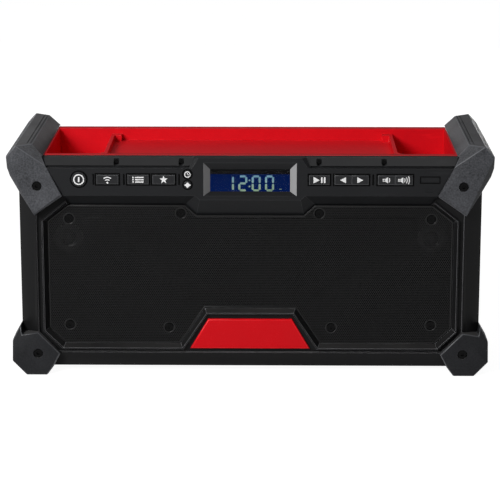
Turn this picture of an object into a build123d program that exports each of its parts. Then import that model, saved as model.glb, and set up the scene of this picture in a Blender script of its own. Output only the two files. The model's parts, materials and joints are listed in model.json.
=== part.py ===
from build123d import *
from math import atan2, copysign, cos, degrees, hypot, radians, sin
import os

# A jobsite radio: a wide moulded body of two housings, with a shelf tray on top, a control fascia
# with a clock display and press keys, a perforated speaker grille over two woofers and two tweeters,
# and a rubber guard on each of the four long edges. The battery bay and the ports are at the back.
#
# Millimetres. X runs along the width, the front faces -Y and Z is up. The origin is the centre of
# the footprint, on the surface that the radio stands on. "Left" is the side of -X.

# ---- Body: two housings that meet at a seal ----
BODY_WIDTH = 389.0
BODY_DEPTH = 154.0
BODY_BOTTOM = 6.0
RIM_HEIGHT = 187.0
WALL = 3.0
UPRIGHT_CHAMFER = 14.5
BOTTOM_SLOPE_RISE = 11.5
BOTTOM_SLOPE_RUN = 4.0
SHOULDER_CHAMFER = 20.5
RIM_SLOPE_RUN = 9.7
RIM_SLOPE_DROP = 6.6
SPLIT_Y = -25.0
SEAL_THICKNESS = 2.0
SEAL_TONGUE = 1.6

# ---- Fits ----
GAP = 0.3
HOLE_GAP = 0.1
KEY_GAP = 0.4

# ---- Grille, its well in the front housing and the bead round it ----
GRILLE_SIDE_MARGIN = 24.2
GRILLE_BOTTOM_MARGIN = 19.6
GRILLE_TOP_MARGIN = 41.8
GRILLE_SHEET = 1.0
GRILLE_DEPTH = 4.0
GRILLE_SET_BACK = 6.0
GRILLE_FIT = 0.4
UPPER_CORNER = (17.4, 13.8)
LOWER_CORNER = (13.3, 13.0)
DISPLAY_NOTCH_HALF = 45.0
DISPLAY_NOTCH_DROP = 8.6
NOTCH_SLANT = 0.9
BADGE_NOTCH_TOP_HALF = 38.5
BADGE_NOTCH_BASE_HALF = 59.0
BADGE_NOTCH_RISE = 30.8
PANEL_RISE = 1.0
PANEL_LEDGE = 1.4
PANEL_FOOT = (53.5, 12.1)
PANEL_BEND_INSET = 36.3
PANEL_HEAD = (37.0, 3.04)
PANEL_FACET = ((3.5, 5.1), (2.3, 14.7), (6.2, 17.2))
WELL_SLOPE = 3.2
BEAD_WIDTH = 1.2
GROOVE_DEPTH = 3.0
GROOVE_EDGE = 1.2
BAFFLE = 4.0

# ---- Control fascia ----
FASCIA_PROUD = 2.0
FASCIA_DEPTH = 10.0
FASCIA_PLATE = 3.0
FASCIA_FACE_RISE = 9.8
BEZEL_FACE_HALF = 42.0
BEZEL_FACE_RISE = 14.9
GROOVE_RISE = 33.0
GROOVE_HEIGHT = 2.1
GROOVE_CUT = 3.6
BAND_STEP = 1.5
BAND_END_SLOPE = 2.9
WINDOW_HALF_WIDTH = 33.4
WINDOW_HEIGHT = 18.8
WINDOW_RISE = 12.8
BEVEL_SIDE = 5.4
BEVEL_TOP = 6.2
BEVEL_BASE = 3.1
BEVEL_DEPTH = 4.0
DISPLAY_BLOCK_EDGE = 4.0
LENS_EDGE = 2.6
LENS_THICKNESS = 1.5
LCD_THICKNESS = 1.2
BACKLIGHT_THICKNESS = 1.5

# ---- Keys: (left edge, right edge) or centre, along X, in a row that spans KEY_ROW_SPAN on each side ----
KEY_ROW_RISE = 23.6
KEY_ROW_SPAN = 119.052
KEY_HEIGHT = 8.3
KEY_PROUD = 1.2
KEY_TRAVEL = 1.0
KEY_FLANGE = 0.7
KEY_FLANGE_THICKNESS = 1.0
POWER_KEY_X = -142.4
POWER_KEY_RADIUS = 6.3
WIRELESS_KEY = (-127.9, -109.2)
MODE_KEY = (-102.0, -84.0)
PRESET_KEY = (-81.3, -62.3)
PLAY_KEY = (48.9, 66.3)
SEEK_KEY = (70.0, 98.7)
VOLUME_KEY = (106.0, 135.1)
SMALL_KEY_X = -52.0
SMALL_KEY_RADIUS = 3.3
SMALL_KEY_SPACING = 9.0
ROCKER_PIN_RADIUS = 1.2
ROCKER_TURN = 3.0
SEPARATORS = (-130.2, -104.9, -58.9, 102.3)
SEPARATOR_WIDTH = 1.6
SEPARATOR_HEIGHT = 9.4
SEPARATOR_CUT = 1.0
LABEL_RECESS_X = 149.5
LABEL_RECESS = (16.0, 5.2)
LABEL_RECESS_CUT = 0.5
SMALL_LABEL = (6.6, 3.2)
SMALL_LABEL_DROP = 9.0
DOME_HEIGHT = 1.4
DOME_RADIUS = 2.6
MEMBRANE = 1.2
BOARD = 1.6
BOARD_EDGE = 6.0
BOARD_BOSS_WALL = 1.1
ROOF_WALL = 1.0

# ---- Shelf tray ----
TRAY_SIDE_GAP = 0.5
TRAY_SET_BACK = 10.0
TRAY_FLANGE = 2.0
TRAY_SIDE_LIP = 0.3
TRAY_FRONT_LIP = 5.0
TRAY_REAR_LIP = 7.5
TRAY_WALL = 2.5
TRAY_SIDE_WALL = 1.8
TRAY_EDGE = 0.7
SHELF_DEPTH = 10.5
POCKET_WIDTH = 46.4
POCKET_DEPTH = 38.0
POCKET_CORNER = 14.0
DIVIDER_WIDTH = 3.0
DIVIDER_DROP = 4.5
DIVIDER_FLARE = 5.0
DIVIDER_POST = (6.0, 8.0)
LEDGE = 4.0

# ---- Upper guards: distances in from the side and down from the rim, unless said ----
GUARD_THICKNESS = 6.0
GUARD_REACH = 8.5
GUARD_RISE = 10.0
GUARD_TOP_WIDTH = 13.0
GUARD_SHOULDER = (7.7, 8.6)
GUARD_DRAFT = 0.3
GUARD_SIDE_DROP = 11.0
GUARD_UNDERCUT = ((2.2, 7.4), (8.2, 17.0))
GUARD_LAP = 1.8
LEG_TIP = (38.1, 32.2)
LEG_HEEL = (14.8, 48.5)
LEG_LEAN = (56.0, 3.0)
LEG_SIDE_FACET = (6.0, 9.5)
LEG_INNER_FACET = (10.5, 3.6)
LEG_TOP_FACET = (7.0, 10.4)
LEG_END_BEVEL = (2.2, 1.3)
LEG_DEPTH = 22.0
LEG_FLARE = 11.0
RIB_INSETS = (0.8, 3.6)
RIB_WIDTH = 0.8
RIB_CUT = 0.7
RIB_END = 16.0
GUARD_SCREW = (17.2, 23.5)

# ---- Lower guards: distances in from the side and up from the ground ----
FOOT_REACH = 6.7
FOOT_TIP = (33.9, 18.7)
FOOT_TIP_BASE = (28.0, 7.6)
FOOT_TOP_INNER = (15.5, 37.3)
FOOT_TOP_OUTER = (1.4, 34.3)
FOOT_FLARE_TOP = 42.0
FOOT_SIDE = (12.6, 29.8)
FOOT_SOLE = (5.4, 22.4)
FOOT_FACET_TOP = (15.5, 37.3)
FOOT_FACET_BASE = (-5.5, 12.0)
FOOT_FACET = (12.0, 4.4)
FOOT_SCREW = (15.0, 18.9)
GUARD_SCREW_RADIUS = 2.0
GUARD_HEAD_RADIUS = 3.5
GUARD_HEAD_HEIGHT = 2.6
GUARD_BORE_RADIUS = 4.1
GUARD_BORE_DEPTH = 3.9
GUARD_SCREW_LENGTH = 16.0
BOSS_WALL = 2.4

# ---- Badge plate ----
BADGE_TOP_HALF = 35.4
BADGE_BASE_HALF = 50.8
BADGE_HEIGHT = 26.1
BADGE_BASE_RISE = 15.8
BADGE_THICKNESS = 2.8
BADGE_BEVEL = 0.8

# ---- Speakers ----
WOOFER_SPACING = 57.6
WOOFER_RADIUS = 48.0
CONE_RADIUS = 38.0
WOOFER_GASKET = 1.0
WOOFER_FLANGE = 2.5
WOOFER_BASKET = 26.0
MAGNET_RADIUS = 22.0
MAGNET_HEIGHT = 15.0
COIL_RADIUS = 11.0
CONE_SHEET = 0.8
WOOFER_SCREW_ANGLES = (45, 135, 225, 315)
TWEETER_INSET = 17.6
TWEETER_DROP = 28.7
TWEETER_RADIUS = 11.5
TWEETER_FLANGE = 2.0
TWEETER_BODY_RADIUS = 8.0
TWEETER_BODY_LENGTH = 12.0
TWEETER_DOME_RADIUS = 5.6
TWEETER_DOME_HEIGHT = 2.4
TWEETER_DOME_SEAT = 3.0

# ---- Small screws: head radius, head height, shank radius, length ----
GRILLE_SCREW = (3.3, 1.6, 1.4, 7.5)
FASCIA_SCREW = (1.9, 1.6, 1.2, 5.0)
BOARD_SCREW = (1.9, 1.0, 0.9, 4.0)
WOOFER_SCREW = (2.6, 1.6, 1.3, 6.0)
HOUSING_SCREW = (3.8, 3.4, 2.0, 112.0)
GRILLE_SCREW_OUTER = (18.3, 11.7, 17.5, 15.8)
GRILLE_SCREW_INNER = (13.0, 6.9, 9.7, 13.6)
FASCIA_SCREWS_X = (57.3, 111.4)
FASCIA_SCREW_DROP = 4.2
FASCIA_SLOT = (4.4, 6.0)
HOUSING_SCREW_INSET = 26.5
HOUSING_SCREW_DROP = 62.0
HOUSING_SCREW_RISE = 49.0
HOUSING_SCREW_FOOT = (66.0, 16.0)
HOUSING_BORE_DEPTH = 8.0

# ---- Battery bay and its dock ----
BAY_HALF_WIDTH = 46.0
BAY_RISE = 54.0
BAY_DEPTH = 94.0
BAY_LIP = (4.0, 1.5)
DOCK_HALF_WIDTH = 34.0
DOCK_PLATE = 3.0
DOCK_LENGTH = 68.0
RAIL_DROP = 9.0
RAIL_WALL = 3.0
RAIL_LIP = 3.0
TERMINAL_BLOCK = (44.0, 12.0, 16.0)
BLADE = (0.9, 14.0, 6.0)
BLADE_SPACING = 8.5
BLADE_COUNT = 5

# ---- Grooves and label seat on the back ----
GRIP_X = 69.5
GRIP_GROOVE = (26.0, 2.6)
GRIP_PITCH = 7.0
GRIP_COUNT = 7
GRIP_RISE = 83.0
GRIP_CUT = 1.2
REAR_LABEL = (74.0, 24.0)
REAR_LABEL_RISE = 31.0
REAR_LABEL_CUT = 0.6

# ---- Rear recesses with hinged covers ----
PORT_X = 122.0
INLET_X = -122.0
RECESS_TOP = 104.0
RECESS_HALF_WIDTH = 22.0
RECESS_HEIGHT = 32.0
RECESS_DEPTH = 12.0
COVER_THICKNESS = 3.0
COVER_LAP = 2.5
HINGE_RADIUS = 2.3
HINGE_PIN_RADIUS = 0.9
HINGE_INSET = 1.6
HINGE_GAP = 0.4
HINGE_EAR = 5.0
COVER_TAB = (14.0, 1.4, 4.0)
JACK_RADIUS = 1.8
JACK_BARREL_RADIUS = 4.2
JACK_LENGTH = 14.0
JACK_OFFSET = 11.0
USB_SHELL = (13.2, 5.8, 14.0)
USB_SHEET = 0.4
USB_OFFSET = -8.0
PORT_PROUD = 1.0
PORT_BOARD = (44.0, 26.0)
INLET_BODY = (24.0, 14.0, 20.0)
INLET_SOCKET = (16.6, 8.6, 14.0)
INLET_PIN_RADIUS = 1.2
INLET_PIN_SPACING = 8.6
INLET_PIN_LENGTH = 8.0

# ---- Boards inside ----
BOARD_SPACE = 25.0
MAIN_BOARD = (176.0, 96.0)
MAIN_BOARD_LIFT = 5.0
MAIN_BOARD_SET = 17.0
BOARD_POST_RADIUS = 3.0
BOARD_POST_INSET = 6.0
BOARD_POST_ROWS = (14.0, 60.0)
POWER_POST_INSET = 5.0
HEATSINK = (60.0, 30.0, 12.0)
HEATSINK_FINS = 7
HEATSINK_BASE = 3.0
POWER_BOARD = (96.0, 62.0)
POWER_BOARD_LIFT = 14.0
POWER_BOARD_Y = 34.0
TRANSFORMER = (34.0, 28.0, 20.0)
CAPACITOR_RADIUS = 6.0
CAPACITOR_HEIGHT = 18.0
CAPACITOR_EDGE = 0.8
CAPACITOR_CLEARANCE = 6.0
CAPACITOR_SPACING = 20.0
ANTENNA_RADIUS = 4.0
ANTENNA_LENGTH = 90.0
ANTENNA_SET = 38.0
CLIP = (6.0, 12.0, 8.0)

# ---- Places worked out from the sizes above ----
SIDE_X = BODY_WIDTH / 2
FRONT_Y = -BODY_DEPTH / 2
REAR_Y = BODY_DEPTH / 2
GRILLE_HALF = SIDE_X - GRILLE_SIDE_MARGIN
GRILLE_BASE = BODY_BOTTOM + GRILLE_BOTTOM_MARGIN
GRILLE_TOP = RIM_HEIGHT - GRILLE_TOP_MARGIN
GRILLE_Y = FRONT_Y + GRILLE_SET_BACK
TWEETER_X = GRILLE_HALF - TWEETER_INSET
TWEETER_Z = GRILLE_TOP - TWEETER_DROP
WOOFER_X = TWEETER_X - WOOFER_SPACING
WOOFER_Z = (GRILLE_BASE + GRILLE_TOP) / 2
BAFFLE_Y = GRILLE_Y + GRILLE_DEPTH
BAFFLE_BACK = BAFFLE_Y + BAFFLE
FACE_Y = FRONT_Y - FASCIA_PROUD
FASCIA_BACK = FACE_Y + FASCIA_DEPTH
PLATE_BACK = FACE_Y + FASCIA_PLATE
KEY_Z = GRILLE_TOP + KEY_ROW_RISE
WINDOW_BASE = GRILLE_TOP + WINDOW_RISE
WINDOW_TOP = WINDOW_BASE + WINDOW_HEIGHT
WINDOW_Y = FACE_Y + BEVEL_DEPTH
LENS_BACK = WINDOW_Y + LENS_THICKNESS
LCD_BACK = LENS_BACK + LCD_THICKNESS
BOARD_Y = LCD_BACK + BACKLIGHT_THICKNESS
BOARD_BACK = BOARD_Y + BOARD
ROOF_Z = GRILLE_TOP + GROOVE_RISE - ROOF_WALL
BOARD_BASE = GRILLE_TOP + FASCIA_FACE_RISE + FASCIA_PLATE + GAP
BOARD_TOP = ROOF_Z - GAP
GUARD_Y = FRONT_Y - GUARD_THICKNESS
SEAT_Z = RIM_HEIGHT - TRAY_FLANGE
SHELF_Z = RIM_HEIGHT - SHELF_DEPTH
POCKET_Z = RIM_HEIGHT - POCKET_DEPTH
TRAY_X = SIDE_X - SHOULDER_CHAMFER - TRAY_SIDE_GAP
TRAY_Y = REAR_Y - TRAY_SET_BACK
TUB_X = TRAY_X - TRAY_SIDE_LIP
TUB_FRONT_Y = TRAY_FRONT_LIP - TRAY_Y
TUB_REAR_Y = TRAY_Y - TRAY_REAR_LIP
POCKET_X = TUB_X - TRAY_SIDE_WALL - POCKET_WIDTH
SHELF_X = POCKET_X - DIVIDER_WIDTH
BAY_Y = REAR_Y - BAY_DEPTH
MAIN_BOARD_Y = BAY_Y + MAIN_BOARD_SET
ANTENNA_Y = MAIN_BOARD_Y + ANTENNA_SET
BAY_ROOF = SHELF_Z - TRAY_WALL - BOARD_SPACE
BAY_TOP = BAY_ROOF - WALL
BAY_BOTTOM = BODY_BOTTOM + BAY_RISE
RECESS_BASE = RECESS_TOP - RECESS_HEIGHT
RECESS_Y = REAR_Y - RECESS_DEPTH
HINGE_Y = REAR_Y - HINGE_INSET
HINGE_Z = RECESS_TOP + HINGE_RADIUS


# ---- Helpers ----
def grown(points, amount):
    """The same closed outline, listed anticlockwise, with each side moved out by amount."""
    moved = []
    count = len(points)
    for i in range(count):
        (ax, az), (bx, bz), (cx, cz) = points[i - 1], points[i], points[(i + 1) % count]
        ux, uz = (bx - ax) / hypot(bx - ax, bz - az), (bz - az) / hypot(bx - ax, bz - az)
        vx, vz = (cx - bx) / hypot(cx - bx, cz - bz), (cz - bz) / hypot(cx - bx, cz - bz)
        share = amount / (1 + ux * vx + uz * vz)
        moved.append((bx + (uz + vz) * share, bz - (ux + vx) * share))
    return moved


def both_sides(right_half):
    """A closed outline, anticlockwise, from the points of its right half, listed from the bottom up."""
    return right_half + [(-x, z) for x, z in reversed(right_half)]


def mirrored_x(shape):
    return mirror(shape, about=Plane.YZ)


def outline_xz(points, y):
    return Plane.XZ.offset(-y) * make_face(Polyline(*points, close=True))


def prism_y(points, y_from, y_to):
    """A solid whose outline lies in X and Z."""
    return extrude(outline_xz(points, y_from), amount=y_to - y_from, dir=(0, 1, 0))


def taper_y(points_from, y_from, points_to, y_to):
    """A solid that changes from one outline to another of as many points."""
    return loft([outline_xz(points_from, y_from), outline_xz(points_to, y_to)], ruled=True)


def prism_x(points, x_from, x_to):
    """A solid whose outline lies in Y and Z."""
    face = Plane.YZ.offset(x_from) * make_face(Polyline(*points, close=True))
    return extrude(face, amount=x_to - x_from, dir=(1, 0, 0))


def block(x, y, z):
    """A box from its lowest and highest X, Y and Z."""
    size = Box(x[1] - x[0], y[1] - y[0], z[1] - z[0], align=Align.MIN)
    return Pos(x[0], y[0], z[0]) * size


def rod_y(x, z, radius, y_from, y_to):
    """A round bar along Y."""
    bar = Cylinder(radius, y_to - y_from, align=(Align.CENTER, Align.CENTER, Align.MIN))
    return Pos(x, y_from, z) * Rot(-90, 0, 0) * bar


def rod_z(x, y, radius, z_from, z_to):
    """A round bar along Z."""
    return Pos(x, y, z_from) * Cylinder(radius, z_to - z_from, align=(Align.CENTER, Align.CENTER, Align.MIN))


def rod_x(y, z, radius, x_from, x_to):
    """A round bar along X."""
    bar = Cylinder(radius, x_to - x_from, align=(Align.CENTER, Align.CENTER, Align.MIN))
    return Pos(x_from, y, z) * Rot(0, 90, 0) * bar


def turned_y(profile, x, z):
    """A solid turned about an axis along Y, from points of (radius, y)."""
    face = make_face(Polyline(*profile, close=True))
    return Pos(x, 0, z) * revolve(face, axis=Axis.Y)


def rectangle(x_centre, z_centre, width, height):
    half_w, half_h = width / 2, height / 2
    return [
        (x_centre - half_w, z_centre - half_h),
        (x_centre + half_w, z_centre - half_h),
        (x_centre + half_w, z_centre + half_h),
        (x_centre - half_w, z_centre + half_h),
    ]


def socket_screw_y(x, z, seat_y, size, outward):
    """A screw along Y whose head stands on seat_y. outward is -1 at the front and 1 at the back."""
    head_radius, head_height, shank_radius, length = size
    head_end, shank_end = seat_y + outward * head_height, seat_y - outward * length
    head = rod_y(x, z, head_radius, min(seat_y, head_end), max(seat_y, head_end))
    shank = rod_y(x, z, shank_radius, min(seat_y, shank_end), max(seat_y, shank_end))
    hex_face = outline_xz([
        (x + head_radius * 0.5 * cos(radians(a)), z + head_radius * 0.5 * sin(radians(a)))
        for a in range(0, 360, 60)
    ], head_end)
    hex_hole = extrude(hex_face, amount=head_height * 0.6, dir=(0, -outward, 0))
    return head + shank - hex_hole


def group(shapes):
    return Compound(children=[s for shape in shapes for s in shape.solids()])


# ---- Outlines that several pieces share ----
def body_envelope(grow=0.0):
    """The closed outer form of both housings together, with every face moved out by grow."""
    c = UPRIGHT_CHAMFER
    plan = [
        (SIDE_X - c, FRONT_Y), (SIDE_X, FRONT_Y + c), (SIDE_X, REAR_Y - c), (SIDE_X - c, REAR_Y),
        (c - SIDE_X, REAR_Y), (-SIDE_X, REAR_Y - c), (-SIDE_X, FRONT_Y + c), (c - SIDE_X, FRONT_Y),
    ]
    plan_face = make_face(Polyline(*grown(plan, grow), close=True))
    low, high = BODY_BOTTOM - grow, RIM_HEIGHT + grow
    standing = extrude(Pos(0, 0, low) * plan_face, amount=high - low)
    front = both_sides([
        (SIDE_X, BODY_BOTTOM),
        (SIDE_X, RIM_HEIGHT - SHOULDER_CHAMFER),
        (SIDE_X - SHOULDER_CHAMFER, RIM_HEIGHT),
    ])
    side = both_sides([
        (REAR_Y - BOTTOM_SLOPE_RUN, BODY_BOTTOM),
        (REAR_Y, BODY_BOTTOM + BOTTOM_SLOPE_RISE),
        (REAR_Y, RIM_HEIGHT - RIM_SLOPE_DROP),
        (REAR_Y - RIM_SLOPE_RUN, RIM_HEIGHT),
    ])
    from_front = prism_y(grown(front, grow), FRONT_Y - grow, REAR_Y + grow)
    from_side = prism_x(grown(side, grow), -SIDE_X - grow, SIDE_X + grow)
    return standing & from_front & from_side


def grille_outline():
    notch_run = DISPLAY_NOTCH_DROP / NOTCH_SLANT
    return both_sides([
        (BADGE_NOTCH_TOP_HALF, GRILLE_BASE + BADGE_NOTCH_RISE),
        (BADGE_NOTCH_BASE_HALF, GRILLE_BASE),
        (GRILLE_HALF - LOWER_CORNER[0], GRILLE_BASE),
        (GRILLE_HALF, GRILLE_BASE + LOWER_CORNER[1]),
        (GRILLE_HALF, GRILLE_TOP - UPPER_CORNER[1]),
        (GRILLE_HALF - UPPER_CORNER[0], GRILLE_TOP),
        (DISPLAY_NOTCH_HALF + notch_run, GRILLE_TOP),
        (DISPLAY_NOTCH_HALF, GRILLE_TOP - DISPLAY_NOTCH_DROP),
    ])


def leg_edge_x(z, clearance=0.0):
    """X of the upper guard leg's inner edge at a height, on the right side."""
    tip_x, tip_z = SIDE_X - LEG_TIP[0], RIM_HEIGHT - LEG_TIP[1]
    top_x = SIDE_X - SHOULDER_CHAMFER
    return tip_x + (top_x - tip_x) * (z - tip_z) / (RIM_HEIGHT - tip_z) - clearance


def fascia_outline(face):
    """The fascia's outline: at its front face, or at its back, where its underside ends."""
    rise = FASCIA_FACE_RISE if face else 0.0
    bezel_half = BEZEL_FACE_HALF if face else DISPLAY_NOTCH_HALF
    bezel_z = GRILLE_TOP - DISPLAY_NOTCH_DROP + (BEZEL_FACE_RISE if face else 0.0)
    strip_z = GRILLE_TOP + rise
    run = (strip_z - bezel_z) / NOTCH_SLANT
    return both_sides([
        (bezel_half, bezel_z),
        (bezel_half + run, strip_z),
        (leg_edge_x(strip_z, GAP), strip_z),
        (leg_edge_x(RIM_HEIGHT, GAP), RIM_HEIGHT),
    ])


# ---- Housings ----
def boss_places():
    """Every blind boss behind the front wall: its X, Z and hole radius."""
    guard = (SIDE_X - GUARD_SCREW[0], RIM_HEIGHT - GUARD_SCREW[1])
    foot = (SIDE_X - FOOT_SCREW[0], FOOT_SCREW[1])
    return [(side * x, z) for x, z in (guard, foot) for side in (-1, 1)]


def housing_screw_places():
    """X and Z of the long screws that hold the two housings together."""
    x = SIDE_X - HOUSING_SCREW_INSET
    foot = (HOUSING_SCREW_FOOT[0], BODY_BOTTOM + HOUSING_SCREW_FOOT[1])
    right = [(x, BODY_BOTTOM + HOUSING_SCREW_RISE), (x, RIM_HEIGHT - HOUSING_SCREW_DROP), foot]
    return [(side * x, z) for x, z in right for side in (-1, 1)]


def tray_opening():
    x, z = TUB_X + GAP, (SEAT_Z - LEDGE - 1, RIM_HEIGHT + 1)
    return block((-x, x), (TUB_FRONT_Y - GAP, TUB_REAR_Y + GAP), z)


def tray_seat():
    x, y = TRAY_X + GAP, TRAY_Y + GAP
    return block((-x, x), (-y, y), (SEAT_Z, RIM_HEIGHT + 1))


def tray_ledge():
    x, y = TRAY_X + WALL, TRAY_Y + WALL
    return block((-x, x), (-y, y), (SEAT_Z - LEDGE, RIM_HEIGHT))


def front_housing():
    joint_y = SPLIT_Y - SEAL_THICKNESS / 2
    outer = body_envelope() & block((-SIDE_X, SIDE_X), (FRONT_Y, joint_y), (0, RIM_HEIGHT))
    cavity = body_envelope(-WALL) & block((-SIDE_X, SIDE_X), (FRONT_Y, joint_y), (0, RIM_HEIGHT))
    grille = grille_outline()
    well_wall = prism_y(grown(grille, WELL_SLOPE + WALL), FRONT_Y, BAFFLE_BACK)
    fascia_wall = prism_y(grown(fascia_outline(False), WALL), FRONT_Y, FASCIA_BACK + WALL)
    groove_floor = prism_y(grown(groove_outline(), WALL), FRONT_Y, FRONT_Y + GROOVE_DEPTH + WALL)
    inner = well_wall + fascia_wall + groove_floor + tray_ledge()
    for x, z in boss_places():
        inner += rod_y(x, z, GUARD_SCREW_RADIUS + BOSS_WALL, FRONT_Y, FRONT_Y + GUARD_SCREW_LENGTH)
    for x, z in housing_screw_places():
        inner += rod_y(x, z, HOUSING_SCREW[2] + BOSS_WALL, FRONT_Y + 1, joint_y)
    shell = outer - cavity + (inner & outer)
    # The well tapers in from the bead to the grille, then runs straight down to the baffle.
    fit = grown(grille, GRILLE_FIT)
    shell -= taper_y(grown(grille, WELL_SLOPE), FRONT_Y, fit, GRILLE_Y)
    shell -= prism_y(fit, GRILLE_Y, BAFFLE_Y)
    shell -= frame_groove()
    shell -= prism_y(grown(fascia_outline(False), GAP), FRONT_Y - 1, FASCIA_BACK)
    shell -= tray_seat() + tray_opening()
    shell -= keypad_window()
    for x, z in housing_screw_places():
        end = REAR_Y - HOUSING_BORE_DEPTH - HOUSING_SCREW[3] - 1
        shell -= rod_y(x, z, HOUSING_SCREW[2] + HOLE_GAP, end, joint_y)
    for x, z in grille_screw_places():
        shell -= rod_y(x, z, GRILLE_SCREW[2] + HOLE_GAP, BAFFLE_Y, BAFFLE_BACK + 1)
    for side in (-1, 1):
        shell -= rod_y(side * WOOFER_X, WOOFER_Z, CONE_RADIUS + 4, BAFFLE_Y - 1, BAFFLE_BACK + 1)
        shell -= rod_y(side * TWEETER_X, TWEETER_Z, TWEETER_BODY_RADIUS + GAP, BAFFLE_Y - 1, BAFFLE_BACK + 1)
        for x in FASCIA_SCREWS_X:
            z = RIM_HEIGHT - FASCIA_SCREW_DROP
            shell -= rod_y(side * x, z, FASCIA_SCREW[2] + HOLE_GAP, FASCIA_BACK - 1, FASCIA_BACK + 6)
        for angle in WOOFER_SCREW_ANGLES:
            x, z = woofer_screw_place(side, angle)
            shell -= rod_y(x, z, WOOFER_SCREW[2] + HOLE_GAP, BAFFLE_Y + 0.5, BAFFLE_BACK + 1)
    for x, z in boss_places():
        hole_end = FRONT_Y + GUARD_SCREW_LENGTH - 1
        shell -= rod_y(x, z, GUARD_SCREW_RADIUS + HOLE_GAP, FRONT_Y - 1, hole_end)
    return shell


def groove_outline():
    edge_x = SIDE_X - UPRIGHT_CHAMFER - GROOVE_EDGE
    low = BODY_BOTTOM + BOTTOM_SLOPE_RISE + GROOVE_EDGE
    return both_sides([(edge_x - LOWER_CORNER[0], low), (edge_x, low + LOWER_CORNER[1]), (edge_x, GRILLE_TOP + FASCIA_FACE_RISE)])


def frame_groove():
    """The sunk band between the bead round the well and the edge of the front face."""
    floor_y = FRONT_Y + GROOVE_DEPTH
    bead = prism_y(grown(grille_outline(), WELL_SLOPE + BEAD_WIDTH), FRONT_Y - 1, floor_y)
    return prism_y(groove_outline(), FRONT_Y - 1, floor_y) - bead


def keypad_window():
    half_x = leg_edge_x(KEY_Z) - BOARD_EDGE - WALL
    low, high = GRILLE_TOP + BOARD_EDGE, SEAT_Z - LEDGE - 1
    return block((-half_x, half_x), (FASCIA_BACK - 1, FASCIA_BACK + WALL + 1), (low, high))


def rear_housing():
    joint_y = SPLIT_Y + SEAL_THICKNESS / 2
    outer = body_envelope() & block((-SIDE_X, SIDE_X), (joint_y, REAR_Y), (0, RIM_HEIGHT))
    cavity = body_envelope(-WALL) & block((-SIDE_X, SIDE_X), (joint_y, REAR_Y), (0, RIM_HEIGHT))
    bay_x = BAY_HALF_WIDTH + WALL
    inner = tray_ledge() + block((-bay_x, bay_x), (BAY_Y - WALL, REAR_Y), (BAY_BOTTOM - WALL, BAY_ROOF))
    for centre in (PORT_X, INLET_X):
        half = RECESS_HALF_WIDTH + COVER_LAP + HINGE_EAR + WALL
        top = HINGE_Z + HINGE_RADIUS + HINGE_GAP + WALL
        inner += block((centre - half, centre + half), (RECESS_Y - WALL, REAR_Y), (RECESS_BASE - COVER_LAP - WALL, top))
    for x, z in housing_screw_places():
        inner += rod_y(x, z, HOUSING_SCREW[2] + BOSS_WALL, joint_y, REAR_Y)
        head_wall = HOUSING_SCREW[0] + HOLE_GAP + BOSS_WALL
        inner += rod_y(x, z, head_wall, REAR_Y - HOUSING_BORE_DEPTH - WALL, REAR_Y)
    for x, z in boss_places():
        inner += rod_y(x, z, GUARD_SCREW_RADIUS + BOSS_WALL, REAR_Y - GUARD_SCREW_LENGTH, REAR_Y)
    for x, y in main_board_posts():
        inner += rod_z(x, y, BOARD_POST_RADIUS, BAY_ROOF, BAY_ROOF + MAIN_BOARD_LIFT)
    floor = BODY_BOTTOM + WALL
    for x, y in power_board_posts():
        inner += rod_z(x, y, BOARD_POST_RADIUS, floor, floor + POWER_BOARD_LIFT)
    for x, y, seat in board_screw_seats():
        end = seat - BOARD_SCREW[3] - HOLE_GAP
        inner -= rod_z(x, y, BOARD_SCREW[2] + HOLE_GAP, end, seat)
    shell = outer - cavity + (inner & outer)
    bay_height = BAY_TOP - BAY_BOTTOM
    lip = rectangle(0, BAY_BOTTOM + bay_height / 2, 2 * (BAY_HALF_WIDTH + BAY_LIP[0]), bay_height + 2 * BAY_LIP[0])
    shell += prism_y(lip, REAR_Y - 1, REAR_Y + BAY_LIP[1])
    bay_y = (BAY_Y, REAR_Y + BAY_LIP[1] + 1)
    shell -= block((-BAY_HALF_WIDTH, BAY_HALF_WIDTH), bay_y, (BAY_BOTTOM, BAY_TOP))
    shell -= rear_grooves()
    shell -= tray_seat() + tray_opening()
    shell -= cover_recess(PORT_X) + cover_recess(INLET_X)
    jack_x, usb_x = PORT_X + JACK_OFFSET, PORT_X + USB_OFFSET
    port_z = (RECESS_TOP + RECESS_BASE) / 2
    shell -= rod_y(jack_x, port_z, JACK_BARREL_RADIUS + HOLE_GAP, RECESS_Y - WALL - 1, RECESS_Y + 1)
    shell -= prism_y(rectangle(usb_x, port_z, USB_SHELL[0] + GAP, USB_SHELL[1] + GAP), RECESS_Y - WALL - 1, RECESS_Y + 1)
    inlet_hole = rectangle(INLET_X, port_z, INLET_BODY[0] + GAP, INLET_BODY[1] + GAP)
    shell -= prism_y(inlet_hole, RECESS_Y - WALL - 1, RECESS_Y + 1)
    for x, z in housing_screw_places():
        shell -= rod_y(x, z, HOUSING_SCREW[2] + HOLE_GAP, joint_y - 1, REAR_Y)
        shell -= rod_y(x, z, HOUSING_SCREW[0] + HOLE_GAP, REAR_Y - HOUSING_BORE_DEPTH, REAR_Y + 1)
    for x, z in boss_places():
        start = REAR_Y - GUARD_SCREW_LENGTH + 1
        shell -= rod_y(x, z, GUARD_SCREW_RADIUS + HOLE_GAP, start, REAR_Y + 1)
    return shell


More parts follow.
